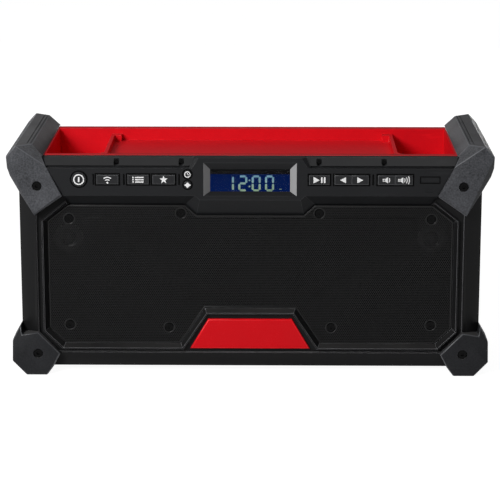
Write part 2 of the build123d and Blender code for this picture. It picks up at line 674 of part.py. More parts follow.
def rear_grooves():
    """A stack of shallow grooves on each side of the battery bay, and a seat for a label below it."""
    cuts = rectangle(0, BODY_BOTTOM + REAR_LABEL_RISE, *REAR_LABEL)
    cuts = prism_y(cuts, REAR_Y - REAR_LABEL_CUT, REAR_Y + 1)
    for i in range(GRIP_COUNT):
        z = BODY_BOTTOM + GRIP_RISE + (i - (GRIP_COUNT - 1) / 2) * GRIP_PITCH
        for side in (-1, 1):
            cuts += prism_y(rectangle(side * GRIP_X, z, *GRIP_GROOVE), REAR_Y - GRIP_CUT, REAR_Y + 1)
    return cuts


def cover_recess(centre):
    """A port recess, the shallow seat that its cover lies in and the slot for the cover's hinge."""
    port_z = (RECESS_TOP + RECESS_BASE) / 2
    recess = prism_y(rectangle(centre, port_z, RECESS_HALF_WIDTH * 2, RECESS_HEIGHT), RECESS_Y, REAR_Y + 1)
    half = RECESS_HALF_WIDTH + COVER_LAP + GAP
    seat_y = REAR_Y - COVER_THICKNESS - GAP
    seat = block((centre - half, centre + half), (seat_y, REAR_Y + 1), (RECESS_BASE - COVER_LAP - GAP, HINGE_Z))
    slot_radius = HINGE_RADIUS + HINGE_GAP
    slot_y = HINGE_Y - slot_radius
    slot = block((centre - half, centre + half), (slot_y, REAR_Y + 1), (HINGE_Z - slot_radius, HINGE_Z + slot_radius))
    pin_end = half + HINGE_EAR - GAP
    pin = rod_x(HINGE_Y, HINGE_Z, HINGE_PIN_RADIUS, centre - pin_end, centre + pin_end)
    return recess + seat + slot + pin


def housing_seal():
    """A flat ring between the two housings, as wide as their walls."""
    ring = block((-SIDE_X, SIDE_X), (SPLIT_Y - SEAL_THICKNESS / 2, SPLIT_Y + SEAL_THICKNESS / 2), (0, RIM_HEIGHT))
    seal = (body_envelope() & ring) - body_envelope(-SEAL_TONGUE)
    return seal - tray_seat() - tray_opening()


# ---- Tray ----
def top_tray():
    """A flanged tub with a shallow shelf between two deep pockets. A divider lower than the rim
    parts each pocket from the shelf, flares out at the front and ends in a post at the back."""
    flange = block((-TRAY_X, TRAY_X), (-TRAY_Y, TRAY_Y), (SEAT_Z, RIM_HEIGHT))
    flange = chamfer(flange.edges().group_by(Axis.Z)[-1], TRAY_EDGE)
    tub_y = (TUB_FRONT_Y, TUB_REAR_Y)
    inside_y = (TUB_FRONT_Y + TRAY_WALL, TUB_REAR_Y - TRAY_WALL)
    above = RIM_HEIGHT + 1
    shelf = block((-SHELF_X, SHELF_X), inside_y, (SHELF_Z, above))
    shelf = fillet(shelf.edges().filter_by(Axis.Z).group_by(Axis.Y)[0], DIVIDER_FLARE)
    pocket = block((POCKET_X, POCKET_X + POCKET_WIDTH), inside_y, (POCKET_Z, above))
    pocket = fillet(pocket.edges().filter_by(Axis.Y).group_by(Axis.Z)[0], POCKET_CORNER)
    plan = block((POCKET_X, POCKET_X + POCKET_WIDTH), inside_y, (POCKET_Z, above))
    flare_edge = plan.edges().filter_by(Axis.Z).group_by(Axis.Y)[0].sort_by(Axis.X)[0]
    pocket &= fillet(flare_edge, DIVIDER_FLARE)
    divider_y = (inside_y[0] + DIVIDER_FLARE, inside_y[1])
    over_divider = block((SHELF_X - 1, POCKET_X + 1), divider_y, (RIM_HEIGHT - DIVIDER_DROP, above))
    post = block((SHELF_X - DIVIDER_POST[0], SHELF_X), (inside_y[1] - DIVIDER_POST[1], inside_y[1]), (SHELF_Z, RIM_HEIGHT - DIVIDER_DROP))
    right_tub = block((SHELF_X, TUB_X), tub_y, (POCKET_Z - TRAY_WALL, SEAT_Z))
    tub = block((-TUB_X, TUB_X), tub_y, (SHELF_Z - TRAY_WALL, SEAT_Z)) + right_tub + mirrored_x(right_tub)
    right_hollow = pocket + over_divider
    return flange + tub - shelf - right_hollow - mirrored_x(right_hollow) + post + mirrored_x(post)


# ---- Grille and badge ----
def raised_panel(amount):
    """The centre of the grille, which stands forward. On each side a thin facet falls away from it,
    between two creases that slant down to the badge."""
    base = GRILLE_BASE + BADGE_NOTCH_RISE
    top = GRILLE_TOP - DISPLAY_NOTCH_DROP - PANEL_LEDGE
    foot = (PANEL_FOOT[0], base + PANEL_FOOT[1])
    head_x = GRILLE_HALF - PANEL_HEAD[0]
    head = (head_x, top - PANEL_HEAD[1])
    steepness = (head[1] - foot[1]) / (head[0] - foot[0])
    bend = (head_x - PANEL_BEND_INSET, head[1] - PANEL_BEND_INSET * steepness)
    high = [foot, bend, head, (head_x + PANEL_LEDGE, top - PANEL_LEDGE)]
    drops = PANEL_FACET
    low = [
        (foot[0] - drops[0][0], foot[1] - drops[0][1]),
        (bend[0] - drops[1][0], bend[1] - drops[1][1]),
        (head[0] + drops[2][0], head[1] - drops[2][1]),
        (head[0] + drops[2][0] + PANEL_LEDGE, top),
    ]
    return taper_y(both_sides(low), GRILLE_Y + amount, both_sides(high), GRILLE_Y - PANEL_RISE + amount)


def speaker_grille():
    outline = grille_outline()
    pan = prism_y(outline, GRILLE_Y, BAFFLE_Y)
    inside = prism_y(grown(outline, -GRILLE_SHEET), GRILLE_Y + GRILLE_SHEET, BAFFLE_Y + 1)
    grille = pan + raised_panel(0) - inside - raised_panel(GRILLE_SHEET)
    for x, z in grille_screw_places():
        boss = rod_y(x, z, GRILLE_SCREW[0] + 1, GRILLE_Y, BAFFLE_Y)
        seat = rod_y(x, z, GRILLE_SCREW[0] + GAP, GRILLE_Y - 2, grille_screw_seat())
        grille += boss
        grille -= seat
        grille -= rod_y(x, z, GRILLE_SCREW[2] + HOLE_GAP, GRILLE_Y, BAFFLE_Y + 1)
    return grille


def grille_screw_places():
    """X and Z of the eight screws: four near the grille's sides and four near its notches."""
    upper_x, drop, lower_x, rise = GRILLE_SCREW_OUTER
    right = [(GRILLE_HALF - upper_x, GRILLE_TOP - drop), (GRILLE_HALF - lower_x, GRILLE_BASE + rise)]
    upper_x, drop, lower_x, rise = GRILLE_SCREW_INNER
    right.append((DISPLAY_NOTCH_HALF + upper_x, GRILLE_TOP - drop))
    right.append((BADGE_NOTCH_BASE_HALF + lower_x, GRILLE_BASE + rise))
    return [(side * x, z) for x, z in right for side in (-1, 1)]


def grille_screw_seat():
    return GRILLE_Y + 1.4


def badge_plate():
    base = BODY_BOTTOM + BADGE_BASE_RISE
    outline = both_sides([(BADGE_BASE_HALF, base), (BADGE_TOP_HALF, base + BADGE_HEIGHT)])
    back = FRONT_Y + GROOVE_DEPTH
    front = back - BADGE_THICKNESS
    plate = prism_y(outline, front + BADGE_BEVEL, back)
    return plate + taper_y(grown(outline, -BADGE_BEVEL), front, outline, front + BADGE_BEVEL)


# ---- Fascia, display and keys ----
def row_x(x):
    """A place along the row of keys, which fills the space between the display and a guard."""
    span = leg_edge_x(KEY_Z) - DISPLAY_NOTCH_HALF
    return copysign(DISPLAY_NOTCH_HALF + (abs(x) - DISPLAY_NOTCH_HALF) * span / KEY_ROW_SPAN, x)


def row_edges(edges):
    return row_x(edges[0]), row_x(edges[1])


def rectangular_keys():
    return {
        "wireless_key": row_edges(WIRELESS_KEY),
        "mode_key": row_edges(MODE_KEY),
        "preset_key": row_edges(PRESET_KEY),
        "play_key": row_edges(PLAY_KEY),
    }


def round_keys():
    """Name to (X, Z, radius)."""
    return {
        "power_key": (row_x(POWER_KEY_X), KEY_Z, POWER_KEY_RADIUS),
        "clock_key": (row_x(SMALL_KEY_X), KEY_Z + SMALL_KEY_SPACING / 2, SMALL_KEY_RADIUS),
        "select_key": (row_x(SMALL_KEY_X), KEY_Z - SMALL_KEY_SPACING / 2, SMALL_KEY_RADIUS),
    }


def rocker_keys():
    return {"seek_rocker": row_edges(SEEK_KEY), "volume_rocker": row_edges(VOLUME_KEY)}


def key_rectangle(edges, grow):
    centre, width = (edges[0] + edges[1]) / 2, edges[1] - edges[0]
    return rectangle(centre, KEY_Z, width + 2 * grow, KEY_HEIGHT + 2 * grow)


def window_rectangle(grow):
    centre = (WINDOW_BASE + WINDOW_TOP) / 2
    return rectangle(0, centre, 2 * (WINDOW_HALF_WIDTH + grow), WINDOW_HEIGHT + 2 * grow)


def control_fascia():
    body = taper_y(fascia_outline(True), FACE_Y, fascia_outline(False), FASCIA_BACK)
    hollow = grown(fascia_outline(True), -FASCIA_PLATE)
    below_roof = block((-SIDE_X, SIDE_X), (PLATE_BACK, FASCIA_BACK + 1), (0, ROOF_Z))
    display_block = prism_y(window_rectangle(DISPLAY_BLOCK_EDGE), PLATE_BACK, LCD_BACK)
    body -= (prism_y(hollow, PLATE_BACK, FASCIA_BACK + 1) & below_roof) - display_block
    body -= prism_y(window_rectangle(DISPLAY_BLOCK_EDGE + HOLE_GAP), LCD_BACK, BOARD_Y)
    body -= fascia_band()
    for x in SEPARATORS:
        groove = rectangle(row_x(x), KEY_Z, SEPARATOR_WIDTH, SEPARATOR_HEIGHT)
        body -= prism_y(groove, FACE_Y - 1, FACE_Y + SEPARATOR_CUT)
    for x in board_boss_places():
        hole_start = BOARD_BACK - BOARD_SCREW[3] - HOLE_GAP
        body += rod_y(x, KEY_Z, BOARD_SCREW[2] + BOARD_BOSS_WALL, PLATE_BACK, BOARD_Y)
        body -= rod_y(x, KEY_Z, BOARD_SCREW[2] + HOLE_GAP, hole_start, BOARD_Y + 1)
    label = rectangle(row_x(LABEL_RECESS_X), KEY_Z, *LABEL_RECESS)
    body -= prism_y(label, FACE_Y - 1, FACE_Y + LABEL_RECESS_CUT)
    small_label = rectangle(row_x(LABEL_RECESS_X), KEY_Z - SMALL_LABEL_DROP, *SMALL_LABEL)
    body -= prism_y(small_label, FACE_Y - 1, FACE_Y + LABEL_RECESS_CUT)
    window = window_rectangle(0)
    flared = [
        (-WINDOW_HALF_WIDTH - BEVEL_SIDE, WINDOW_BASE - BEVEL_BASE),
        (WINDOW_HALF_WIDTH + BEVEL_SIDE, WINDOW_BASE - BEVEL_BASE),
        (WINDOW_HALF_WIDTH + BEVEL_SIDE, WINDOW_TOP + BEVEL_TOP),
        (-WINDOW_HALF_WIDTH - BEVEL_SIDE, WINDOW_TOP + BEVEL_TOP),
    ]
    body -= taper_y(flared, FACE_Y, window, WINDOW_Y)
    body -= prism_y(window_rectangle(LENS_EDGE + HOLE_GAP), WINDOW_Y, FASCIA_BACK)
    for edges in rectangular_keys().values():
        body -= prism_y(key_rectangle(edges, KEY_GAP), FACE_Y - 1, PLATE_BACK)
    for edges in rocker_keys().values():
        body -= prism_y(key_rectangle(edges, KEY_GAP), FACE_Y - 1, PLATE_BACK)
    for x, z, radius in round_keys().values():
        body -= rod_y(x, z, radius + KEY_GAP, FACE_Y - 1, PLATE_BACK)
        body -= rod_y(x, z, radius + KEY_FLANGE + GAP, PLATE_BACK, FASCIA_BACK + 1)
    for x in FASCIA_SCREWS_X:
        for side in (-1, 1):
            z = RIM_HEIGHT - FASCIA_SCREW_DROP
            slot = Rot(0, 0, 90) * SlotOverall(FASCIA_SLOT[1], FASCIA_SLOT[0])
            face = Plane.XZ.offset(-FACE_Y + 1) * Pos(side * x, z) * slot
            body -= extrude(face, amount=fascia_screw_seat() - FACE_Y + 1, dir=(0, 1, 0))
            body -= rod_y(side * x, z, FASCIA_SCREW[2] + HOLE_GAP, FACE_Y, FASCIA_BACK + 1)
    return body


def fascia_screw_seat():
    return FASCIA_BACK - 1.2


def fascia_band():
    """What is cut away above the groove: a band on each side that slopes back up to the rim."""
    groove_low = GRILLE_TOP + GROOVE_RISE
    groove_high = groove_low + GROOVE_HEIGHT
    slope_end = FRONT_Y + RIM_SLOPE_RUN
    top = RIM_HEIGHT + 1
    slant = (RIM_HEIGHT - groove_low) * 0.7
    start = BEZEL_FACE_HALF + slant
    far = SIDE_X
    back = FASCIA_BACK + 1

    def end_outline(shift):
        return [(start + shift, groove_low), (far, groove_low), (far, top), (start + shift - slant, top)]

    ends = prism_y(end_outline(0), FACE_Y - 2, FACE_Y) + prism_y(end_outline(BAND_END_SLOPE), FACE_Y + BAND_STEP, back)
    ends += taper_y(end_outline(0), FACE_Y, end_outline(BAND_END_SLOPE), FACE_Y + BAND_STEP)
    slope = prism_x([
        (FACE_Y - 1, groove_high),
        (FACE_Y + BAND_STEP, groove_high),
        (slope_end, RIM_HEIGHT),
        (slope_end, top),
        (FACE_Y - 1, top),
    ], 0, far)
    groove = block((0, far), (FACE_Y - 1, FACE_Y + GROOVE_CUT), (groove_low, groove_high))
    right = (slope + groove) & ends
    return right + mirrored_x(right)


def display_lens():
    return prism_y(window_rectangle(LENS_EDGE), WINDOW_Y, LENS_BACK)


def lcd_panel():
    return prism_y(window_rectangle(LENS_EDGE), LENS_BACK, LCD_BACK)


def lcd_backlight():
    return prism_y(window_rectangle(DISPLAY_BLOCK_EDGE), LCD_BACK, BOARD_Y)


def rectangular_key(edges):
    cap = prism_y(key_rectangle(edges, 0), FACE_Y - KEY_PROUD, PLATE_BACK + GAP)
    cap = chamfer(cap.faces().sort_by(Axis.Y)[0].edges(), 0.5)
    flange_y = PLATE_BACK + GAP
    return cap + prism_y(key_rectangle(edges, KEY_FLANGE), flange_y, flange_y + KEY_FLANGE_THICKNESS)


def round_key(x, z, radius):
    cap = rod_y(x, z, radius, FACE_Y - KEY_PROUD, PLATE_BACK + GAP)
    cap = chamfer(cap.faces().sort_by(Axis.Y)[0].edges(), 0.5)
    flange_y = PLATE_BACK + GAP
    return cap + rod_y(x, z, radius + KEY_FLANGE, flange_y, flange_y + KEY_FLANGE_THICKNESS)


def rocker_key(edges):
    """A key with a symbol at each end, which tips about a pin behind its middle."""
    back = PLATE_BACK + GAP + ROCKER_PIN_RADIUS
    cap = prism_y(key_rectangle(edges, 0), FACE_Y - KEY_PROUD, back)
    cap = chamfer(cap.faces().sort_by(Axis.Y)[0].edges(), 0.5)
    centre = (edges[0] + edges[1]) / 2
    length = KEY_HEIGHT + 2 * (KEY_GAP + ROCKER_PIN_RADIUS)
    pin = Pos(centre, back, KEY_Z) * Cylinder(ROCKER_PIN_RADIUS, length)
    groove = rectangle(centre, KEY_Z, 0.6, KEY_HEIGHT + 1)
    return cap + pin - prism_y(groove, FACE_Y - KEY_PROUD - 1, FACE_Y - KEY_PROUD + 0.5)


def board_boss_places():
    """X of each boss for the keypad board, half way between two neighbouring keys."""
    return [
        (row_x(POWER_KEY_X) + POWER_KEY_RADIUS + row_x(WIRELESS_KEY[0])) / 2,
        row_x((WIRELESS_KEY[1] + MODE_KEY[0]) / 2),
        (row_x(PRESET_KEY[1]) + row_x(SMALL_KEY_X) - SMALL_KEY_RADIUS) / 2,
        row_x((SEEK_KEY[1] + VOLUME_KEY[0]) / 2),
    ]


def dome_places():
    places = [((edges[0] + edges[1]) / 2, KEY_Z) for edges in rectangular_keys().values()]
    places += [(x, z) for x, z, _ in round_keys().values()]
    for edges in rocker_keys().values():
        centre, quarter = (edges[0] + edges[1]) / 2, (edges[1] - edges[0]) / 4
        places += [(centre - quarter, KEY_Z), (centre + quarter, KEY_Z)]
    return places


def board_half_width():
    return leg_edge_x(KEY_Z) - BOARD_EDGE - WALL - 2


def keypad_board():
    half_x = board_half_width()
    board = block((-half_x, half_x), (BOARD_Y, BOARD_BACK), (BOARD_BASE, BOARD_TOP))
    for x in board_boss_places():
        board -= rod_y(x, KEY_Z, BOARD_SCREW[2] + HOLE_GAP, BOARD_Y - 1, BOARD_BACK + 1)
    return board


def keypad_membrane():
    """A rubber sheet on each side of the display, with a dome under each key."""
    half_x = board_half_width() - 1
    sheet = block((-half_x, half_x), (BOARD_Y - MEMBRANE, BOARD_Y), (BOARD_BASE + GAP, BOARD_TOP))
    display_x = WINDOW_HALF_WIDTH + DISPLAY_BLOCK_EDGE + GAP
    sheet -= block((-display_x, display_x), (BOARD_Y - MEMBRANE - 1, BOARD_Y + 1), (0, RIM_HEIGHT))
    for x in board_boss_places():
        hole_radius = BOARD_SCREW[2] + BOARD_BOSS_WALL + GAP
        sheet -= rod_y(x, KEY_Z, hole_radius, BOARD_Y - MEMBRANE - 1, BOARD_Y + 1)
    front = BOARD_Y - MEMBRANE
    for x, z in dome_places():
        profile = [(0, front), (DOME_RADIUS, front), (DOME_RADIUS - 0.8, front - DOME_HEIGHT), (0, front - DOME_HEIGHT)]
        sheet += turned_y(profile, x, z)
    return sheet


# ---- Guards ----
def upper_guard_outline():
    """The guard seen from the front, by the name of each corner."""
    top = RIM_HEIGHT + GUARD_RISE
    outer_x = SIDE_X + GUARD_REACH
    shoulder_x, shoulder_z = outer_x - GUARD_DRAFT, top - GUARD_SHOULDER[1]
    flat_x = shoulder_x - GUARD_SHOULDER[0]
    side_z = shoulder_z - GUARD_SIDE_DROP
    (bend_in, bend_drop), (hem_in, hem_drop) = GUARD_UNDERCUT
    return {
        "heel": (SIDE_X - LEG_HEEL[0], RIM_HEIGHT - LEG_HEEL[1]),
        "hem": (outer_x - hem_in, side_z - hem_drop),
        "bend": (outer_x - bend_in, side_z - bend_drop),
        "side": (outer_x, side_z),
        "shoulder": (shoulder_x, shoulder_z),
        "top_outer": (flat_x, top),
        "top_inner": (flat_x - GUARD_TOP_WIDTH, top),
        "rim": (SIDE_X - SHOULDER_CHAMFER - GUARD_LAP, RIM_HEIGHT + GAP),
        "collar": (SIDE_X - SHOULDER_CHAMFER, RIM_HEIGHT + GAP),
        "tip": (SIDE_X - LEG_TIP[0], RIM_HEIGHT - LEG_TIP[1]),
    }


def facet(near, far, run, drop):
    """Two points on a line of a guard's front face and a third beside it: the point that lies run
    to the left of the line from near to far and drop further back. Each point is X, Y and Z."""
    length = hypot(far[0] - near[0], far[2] - near[2])
    left_x, left_z = -(far[2] - near[2]) / length, (far[0] - near[0]) / length
    return near, far, (near[0] + left_x * run, near[1] + drop, near[2] + left_z * run)


def ahead_of(a, b, c):
    """All that stands before the plane through three points, on the side of -Y."""
    a, b, c = Vector(*a), Vector(*b), Vector(*c)
    normal = (b - a).cross(c - a)
    if normal.Y > 0:
        normal = normal * -1
    slab = Box(BODY_WIDTH, BODY_WIDTH, BODY_WIDTH, align=(Align.CENTER, Align.CENTER, Align.MIN))
    return Plane(origin=a, x_dir=b - a, z_dir=normal) * slab


def level_of(points, x, z):
    """Y of the plane through three points, at an X and Z."""
    a, b, c = [Vector(*point) for point in points]
    normal = (b - a).cross(c - a)
    return a.Y - (normal.X * (x - a.X) + normal.Z * (z - a.Z)) / normal.Y


def guard_screw_holes(x, z):
    hole = rod_y(x, z, GUARD_SCREW_RADIUS + HOLE_GAP, GUARD_Y - 1, GUARD_Y + GUARD_SCREW_LENGTH)
    return hole + rod_y(x, z, GUARD_BORE_RADIUS, GUARD_Y - 1, GUARD_Y + GUARD_BORE_DEPTH)


def front_and_back(cut):
    return cut + mirror(cut, about=Plane.XZ)


def upper_guard():
    """The right upper guard: a bar along the edge with a slanting leg down the front and the back.
    Each end leans back from the leg's lower edge, falls away to both sides and has a bevelled hem."""
    outline = upper_guard_outline()
    bar = prism_y(list(outline.values()), GUARD_Y, -GUARD_Y)
    tip, heel = outline["tip"], outline["heel"]
    length = hypot(heel[0] - tip[0], heel[1] - tip[1])
    up_x, up_z = (tip[1] - heel[1]) / length, (heel[0] - tip[0]) / length

    def on_face(point, lift=0.0):
        """A point of the leaning face, lifted from the outline's corner at right angles to the hem."""
        x, z = point[0] + up_x * lift, point[1] + up_z * lift
        height = (x - tip[0]) * up_x + (z - tip[1]) * up_z
        return (x, GUARD_Y + height * LEG_LEAN[1] / LEG_LEAN[0], z)

    hem = LEG_END_BEVEL[0]
    crown, (crown_x, crown_z) = on_face(outline["top_outer"]), outline["top_inner"]
    cuts = ahead_of(on_face(tip), on_face(heel), crown)
    cuts += ahead_of(*facet(on_face(outline["shoulder"]), on_face(heel), *LEG_SIDE_FACET))
    inner = facet(on_face(tip), crown, *LEG_INNER_FACET)
    cuts += ahead_of(*inner)
    low_z = RIM_HEIGHT - LEG_TOP_FACET[0]
    low_point = (leg_edge_x(low_z), level_of(inner, leg_edge_x(low_z), low_z), low_z)
    cuts += ahead_of(crown, low_point, (crown_x, crown[1] + LEG_TOP_FACET[1], crown_z))
    cuts += ahead_of(*facet(on_face(heel, hem), on_face(tip, hem), *LEG_END_BEVEL))
    cuts += guard_screw_holes(SIDE_X - GUARD_SCREW[0], RIM_HEIGHT - GUARD_SCREW[1])
    bar -= front_and_back(cuts)
    # Between its two legs the guard covers only the shoulder.
    under_z = outline["hem"][1]
    reach = -GUARD_Y - LEG_DEPTH
    bar -= prism_x([
        (-reach, 0), (reach, 0), (reach - LEG_FLARE, under_z), (LEG_FLARE - reach, under_z),
    ], 0, SIDE_X + 2 * GUARD_REACH)
    bar -= body_envelope(GAP)
    rib_x, top = outline["top_inner"]
    for inset in RIB_INSETS:
        bar -= block(
            (rib_x + inset, rib_x + inset + RIB_WIDTH),
            (GUARD_Y + RIB_END, -GUARD_Y - RIB_END),
            (top - RIB_CUT, top + 1),
        )
    return bar


def lower_guard():
    """The right lower guard: a foot rail along the edge with a faceted corner at the front and back."""
    outer_x = SIDE_X + FOOT_REACH
    outline = [
        (SIDE_X - FOOT_SOLE[1], 0),
        (SIDE_X - FOOT_SOLE[0], 0),
        (outer_x, FOOT_SIDE[0]),
        (outer_x, FOOT_SIDE[1]),
        (SIDE_X, FOOT_FLARE_TOP),
        (SIDE_X - FOOT_TOP_OUTER[0], FOOT_TOP_OUTER[1]),
        (SIDE_X - FOOT_TOP_INNER[0], FOOT_TOP_INNER[1]),
        (SIDE_X - FOOT_TIP[0], FOOT_TIP[1]),
        (SIDE_X - FOOT_TIP_BASE[0], FOOT_TIP_BASE[1]),
    ]
    rail = prism_y(outline, GUARD_Y, -GUARD_Y)
    facet_top = (SIDE_X - FOOT_FACET_TOP[0], GUARD_Y, FOOT_FACET_TOP[1])
    facet_base = (SIDE_X - FOOT_FACET_BASE[0], GUARD_Y, FOOT_FACET_BASE[1])
    cuts = ahead_of(*facet(facet_top, facet_base, *FOOT_FACET))
    cuts += guard_screw_holes(SIDE_X - FOOT_SCREW[0], FOOT_SCREW[1])
    rail -= front_and_back(cuts)
    reach = -GUARD_Y - LEG_DEPTH
    low = BODY_BOTTOM + BOTTOM_SLOPE_RISE
    high = FOOT_FLARE_TOP + 1
    rail -= prism_x([
        (LEG_FLARE - reach, low), (reach - LEG_FLARE, low), (reach, high), (-reach, high),
    ], 0, SIDE_X + 2 * GUARD_REACH)
    rail -= body_envelope(GAP)
    return rail


def guard_screws():
    size = (GUARD_HEAD_RADIUS, GUARD_HEAD_HEIGHT, GUARD_SCREW_RADIUS, GUARD_SCREW_LENGTH)
    seat = GUARD_Y + GUARD_BORE_DEPTH
    front = [socket_screw_y(x, z, seat, size, -1) for x, z in boss_places()]
    return group(front + [mirror(screw, about=Plane.XZ) for screw in front])


# ---- Speakers ----
def woofer_screw_place(side, angle):
    radius = WOOFER_RADIUS - 3.2
    return side * WOOFER_X + radius * cos(radians(angle)), WOOFER_Z + radius * sin(radians(angle))


def woofer_gasket(side):
    ring = turned_y([
        (CONE_RADIUS + 4, BAFFLE_BACK), (WOOFER_RADIUS, BAFFLE_BACK),
        (WOOFER_RADIUS, BAFFLE_BACK + WOOFER_GASKET), (CONE_RADIUS + 4, BAFFLE_BACK + WOOFER_GASKET),
    ], side * WOOFER_X, WOOFER_Z)
    return ring - woofer_screw_holes(side)


def woofer_screw_holes(side):
    holes = []
    for angle in WOOFER_SCREW_ANGLES:
        x, z = woofer_screw_place(side, angle)
        holes.append(rod_y(x, z, WOOFER_SCREW[2] + HOLE_GAP, BAFFLE_BACK - 1, BAFFLE_BACK + 10))
    return holes[0] + holes[1] + holes[2] + holes[3]


def woofer_frame(side):
    """The pressed basket: a flange, a tapered wall with windows and a floor that holds the magnet."""
    front = BAFFLE_BACK + WOOFER_GASKET
    back = front + WOOFER_BASKET
    wall = 1.6
    profile = [
        (CONE_RADIUS, front), (WOOFER_RADIUS, front),
        (WOOFER_RADIUS, front + WOOFER_FLANGE), (CONE_RADIUS + wall + 1, front + WOOFER_FLANGE),
        (MAGNET_RADIUS + wall, back), (COIL_RADIUS + 1.5, back),
        (COIL_RADIUS + 1.5, back - wall), (MAGNET_RADIUS, back - wall),
    ]
    frame = turned_y(profile, side * WOOFER_X, WOOFER_Z)
    low, high = front + WOOFER_FLANGE + 3, back - 5
    for angle in range(0, 360, 60):
        window = Pos(side * WOOFER_X, 0, WOOFER_Z) * Rot(0, angle, 0) * block((10, CONE_RADIUS + 9), (low, high), (-9, 9))
        frame -= window
    return frame - woofer_screw_holes(side)


def woofer_magnet(side):
    start = BAFFLE_BACK + WOOFER_GASKET + WOOFER_BASKET
    end = start + MAGNET_HEIGHT
    plate = 3.0
    return turned_y([
        (COIL_RADIUS + 1.5, start), (MAGNET_RADIUS - 1, start), (MAGNET_RADIUS - 1, start + plate),
        (MAGNET_RADIUS, start + plate), (MAGNET_RADIUS, end - plate), (MAGNET_RADIUS - 1, end - plate),
        (MAGNET_RADIUS - 1, end), (0, end), (0, start - 1), (COIL_RADIUS - 1.5, start - 1),
        (COIL_RADIUS - 1.5, end - plate), (COIL_RADIUS + 1.5, end - plate),
    ], side * WOOFER_X, WOOFER_Z)


def woofer_cone(side):
    """The rubber surround, the cone, its dust cap and the coil former behind it, glued together."""
    rim_y = BAFFLE_BACK + WOOFER_GASKET
    roll_radius = 3.0
    rim = CONE_RADIUS + 4
    sheet = CONE_SHEET
    roll_centre = rim - 1.2 - roll_radius
    foot = make_face(Polyline(
        (rim - 1.6, rim_y - sheet), (rim - 0.2, rim_y - sheet), (rim - 0.2, rim_y), (rim - 1.6, rim_y), close=True,
    ))
    roll = Pos(roll_centre, rim_y) * (Circle(roll_radius) - Circle(roll_radius - sheet))
    roll &= Pos(roll_centre, rim_y - roll_radius) * Rectangle(4 * roll_radius, 2 * roll_radius)
    cone_rim = roll_centre - roll_radius + sheet
    neck_y = rim_y + WOOFER_BASKET * 0.55
    cone = make_face(Polyline(
        (cone_rim + 0.3, rim_y - sheet), (cone_rim + 0.3, rim_y), (COIL_RADIUS, neck_y + sheet),
        (COIL_RADIUS, neck_y - sheet), (cone_rim - 1.2, rim_y - sheet), close=True,
    ))
    former = make_face(Polyline(
        (COIL_RADIUS - 0.6, neck_y - sheet), (COIL_RADIUS + 0.2, neck_y - sheet),
        (COIL_RADIUS + 0.2, rim_y + WOOFER_BASKET + 6), (COIL_RADIUS - 0.6, rim_y + WOOFER_BASKET + 6), close=True,
    ))
    cap_radius = COIL_RADIUS + 4
    cap_y = neck_y - 5
    cap = Pos(0, cap_y + 8) * (Circle(cap_radius + 2) - Circle(cap_radius + 2 - sheet))
    cap &= Pos(cap_radius / 2 + 0.001, cap_y - 4) * Rectangle(cap_radius, 12)
    solids = [revolve(face, axis=Axis.Y) for face in (foot, roll, cone, former, cap)]
    whole = solids[0] + solids[1] + solids[2] + solids[3] + solids[4]
    return Pos(side * WOOFER_X, 0, WOOFER_Z) * whole


def tweeter_frame(side):
    front = BAFFLE_Y - TWEETER_FLANGE
    back = front + TWEETER_BODY_LENGTH
    return turned_y([
        (TWEETER_DOME_RADIUS + 0.4, front + 0.8), (TWEETER_BODY_RADIUS, front), (TWEETER_RADIUS, front + 0.8),
        (TWEETER_RADIUS, BAFFLE_Y), (TWEETER_BODY_RADIUS, BAFFLE_Y), (TWEETER_BODY_RADIUS, back),
        (0, back), (0, front + TWEETER_DOME_SEAT), (TWEETER_DOME_RADIUS + 0.4, front + TWEETER_DOME_SEAT),
    ], side * TWEETER_X, TWEETER_Z)


def tweeter_dome(side):
    base = BAFFLE_Y - TWEETER_FLANGE + TWEETER_DOME_SEAT
    rim, height = TWEETER_DOME_RADIUS, TWEETER_DOME_HEIGHT
    radius = (rim ** 2 + height ** 2) / (2 * height)
    ball = Pos(0, radius - height, 0) * Sphere(radius)
    front_half = block((-radius, radius), (-radius, 0), (-radius, radius))
    return Pos(side * TWEETER_X, base, TWEETER_Z) * (ball & front_half)


# ---- Battery dock ----
def battery_dock():
    back = BAY_Y + TERMINAL_BLOCK[1]
    front = back + DOCK_LENGTH
    rail_low = BAY_TOP - DOCK_PLATE - RAIL_DROP
    dock = block((-DOCK_HALF_WIDTH, DOCK_HALF_WIDTH), (back, front), (BAY_TOP - DOCK_PLATE, BAY_TOP))
    for side in (-1, 1):
        wall_x = sorted((side * (DOCK_HALF_WIDTH - RAIL_WALL), side * DOCK_HALF_WIDTH))
        lip_x = sorted((side * (DOCK_HALF_WIDTH - RAIL_WALL - RAIL_LIP), side * DOCK_HALF_WIDTH))
        dock += block(wall_x, (back, front), (rail_low, BAY_TOP))
        dock += block(lip_x, (back, front), (rail_low, rail_low + RAIL_WALL))
    return dock


def terminal_block():
    width, depth, height = TERMINAL_BLOCK
    return block((-width / 2, width / 2), (BAY_Y, BAY_Y + depth), (BAY_TOP - height, BAY_TOP)) - blade_group(HOLE_GAP / 4)


def blade_group(grow):
    thickness, length, height = BLADE
    front = BAY_Y + TERMINAL_BLOCK[1]
    z = BAY_TOP - DOCK_PLATE - RAIL_DROP / 2
    blades = []
    for i in range(BLADE_COUNT):
        x = (i - (BLADE_COUNT - 1) / 2) * BLADE_SPACING
        blades.append(block(
            (x - thickness / 2 - grow, x + thickness / 2 + grow),
            (front - 4 - grow, front + length - 4),
            (z - height / 2 - grow, z + height / 2 + grow),
        ))
    return blades[0] + blades[1:] if grow else group(blades)


# ---- Ports and covers ----
def port_centre_z():
    return (RECESS_TOP + RECESS_BASE) / 2


def port_back_y():
    return RECESS_Y + PORT_PROUD - JACK_LENGTH


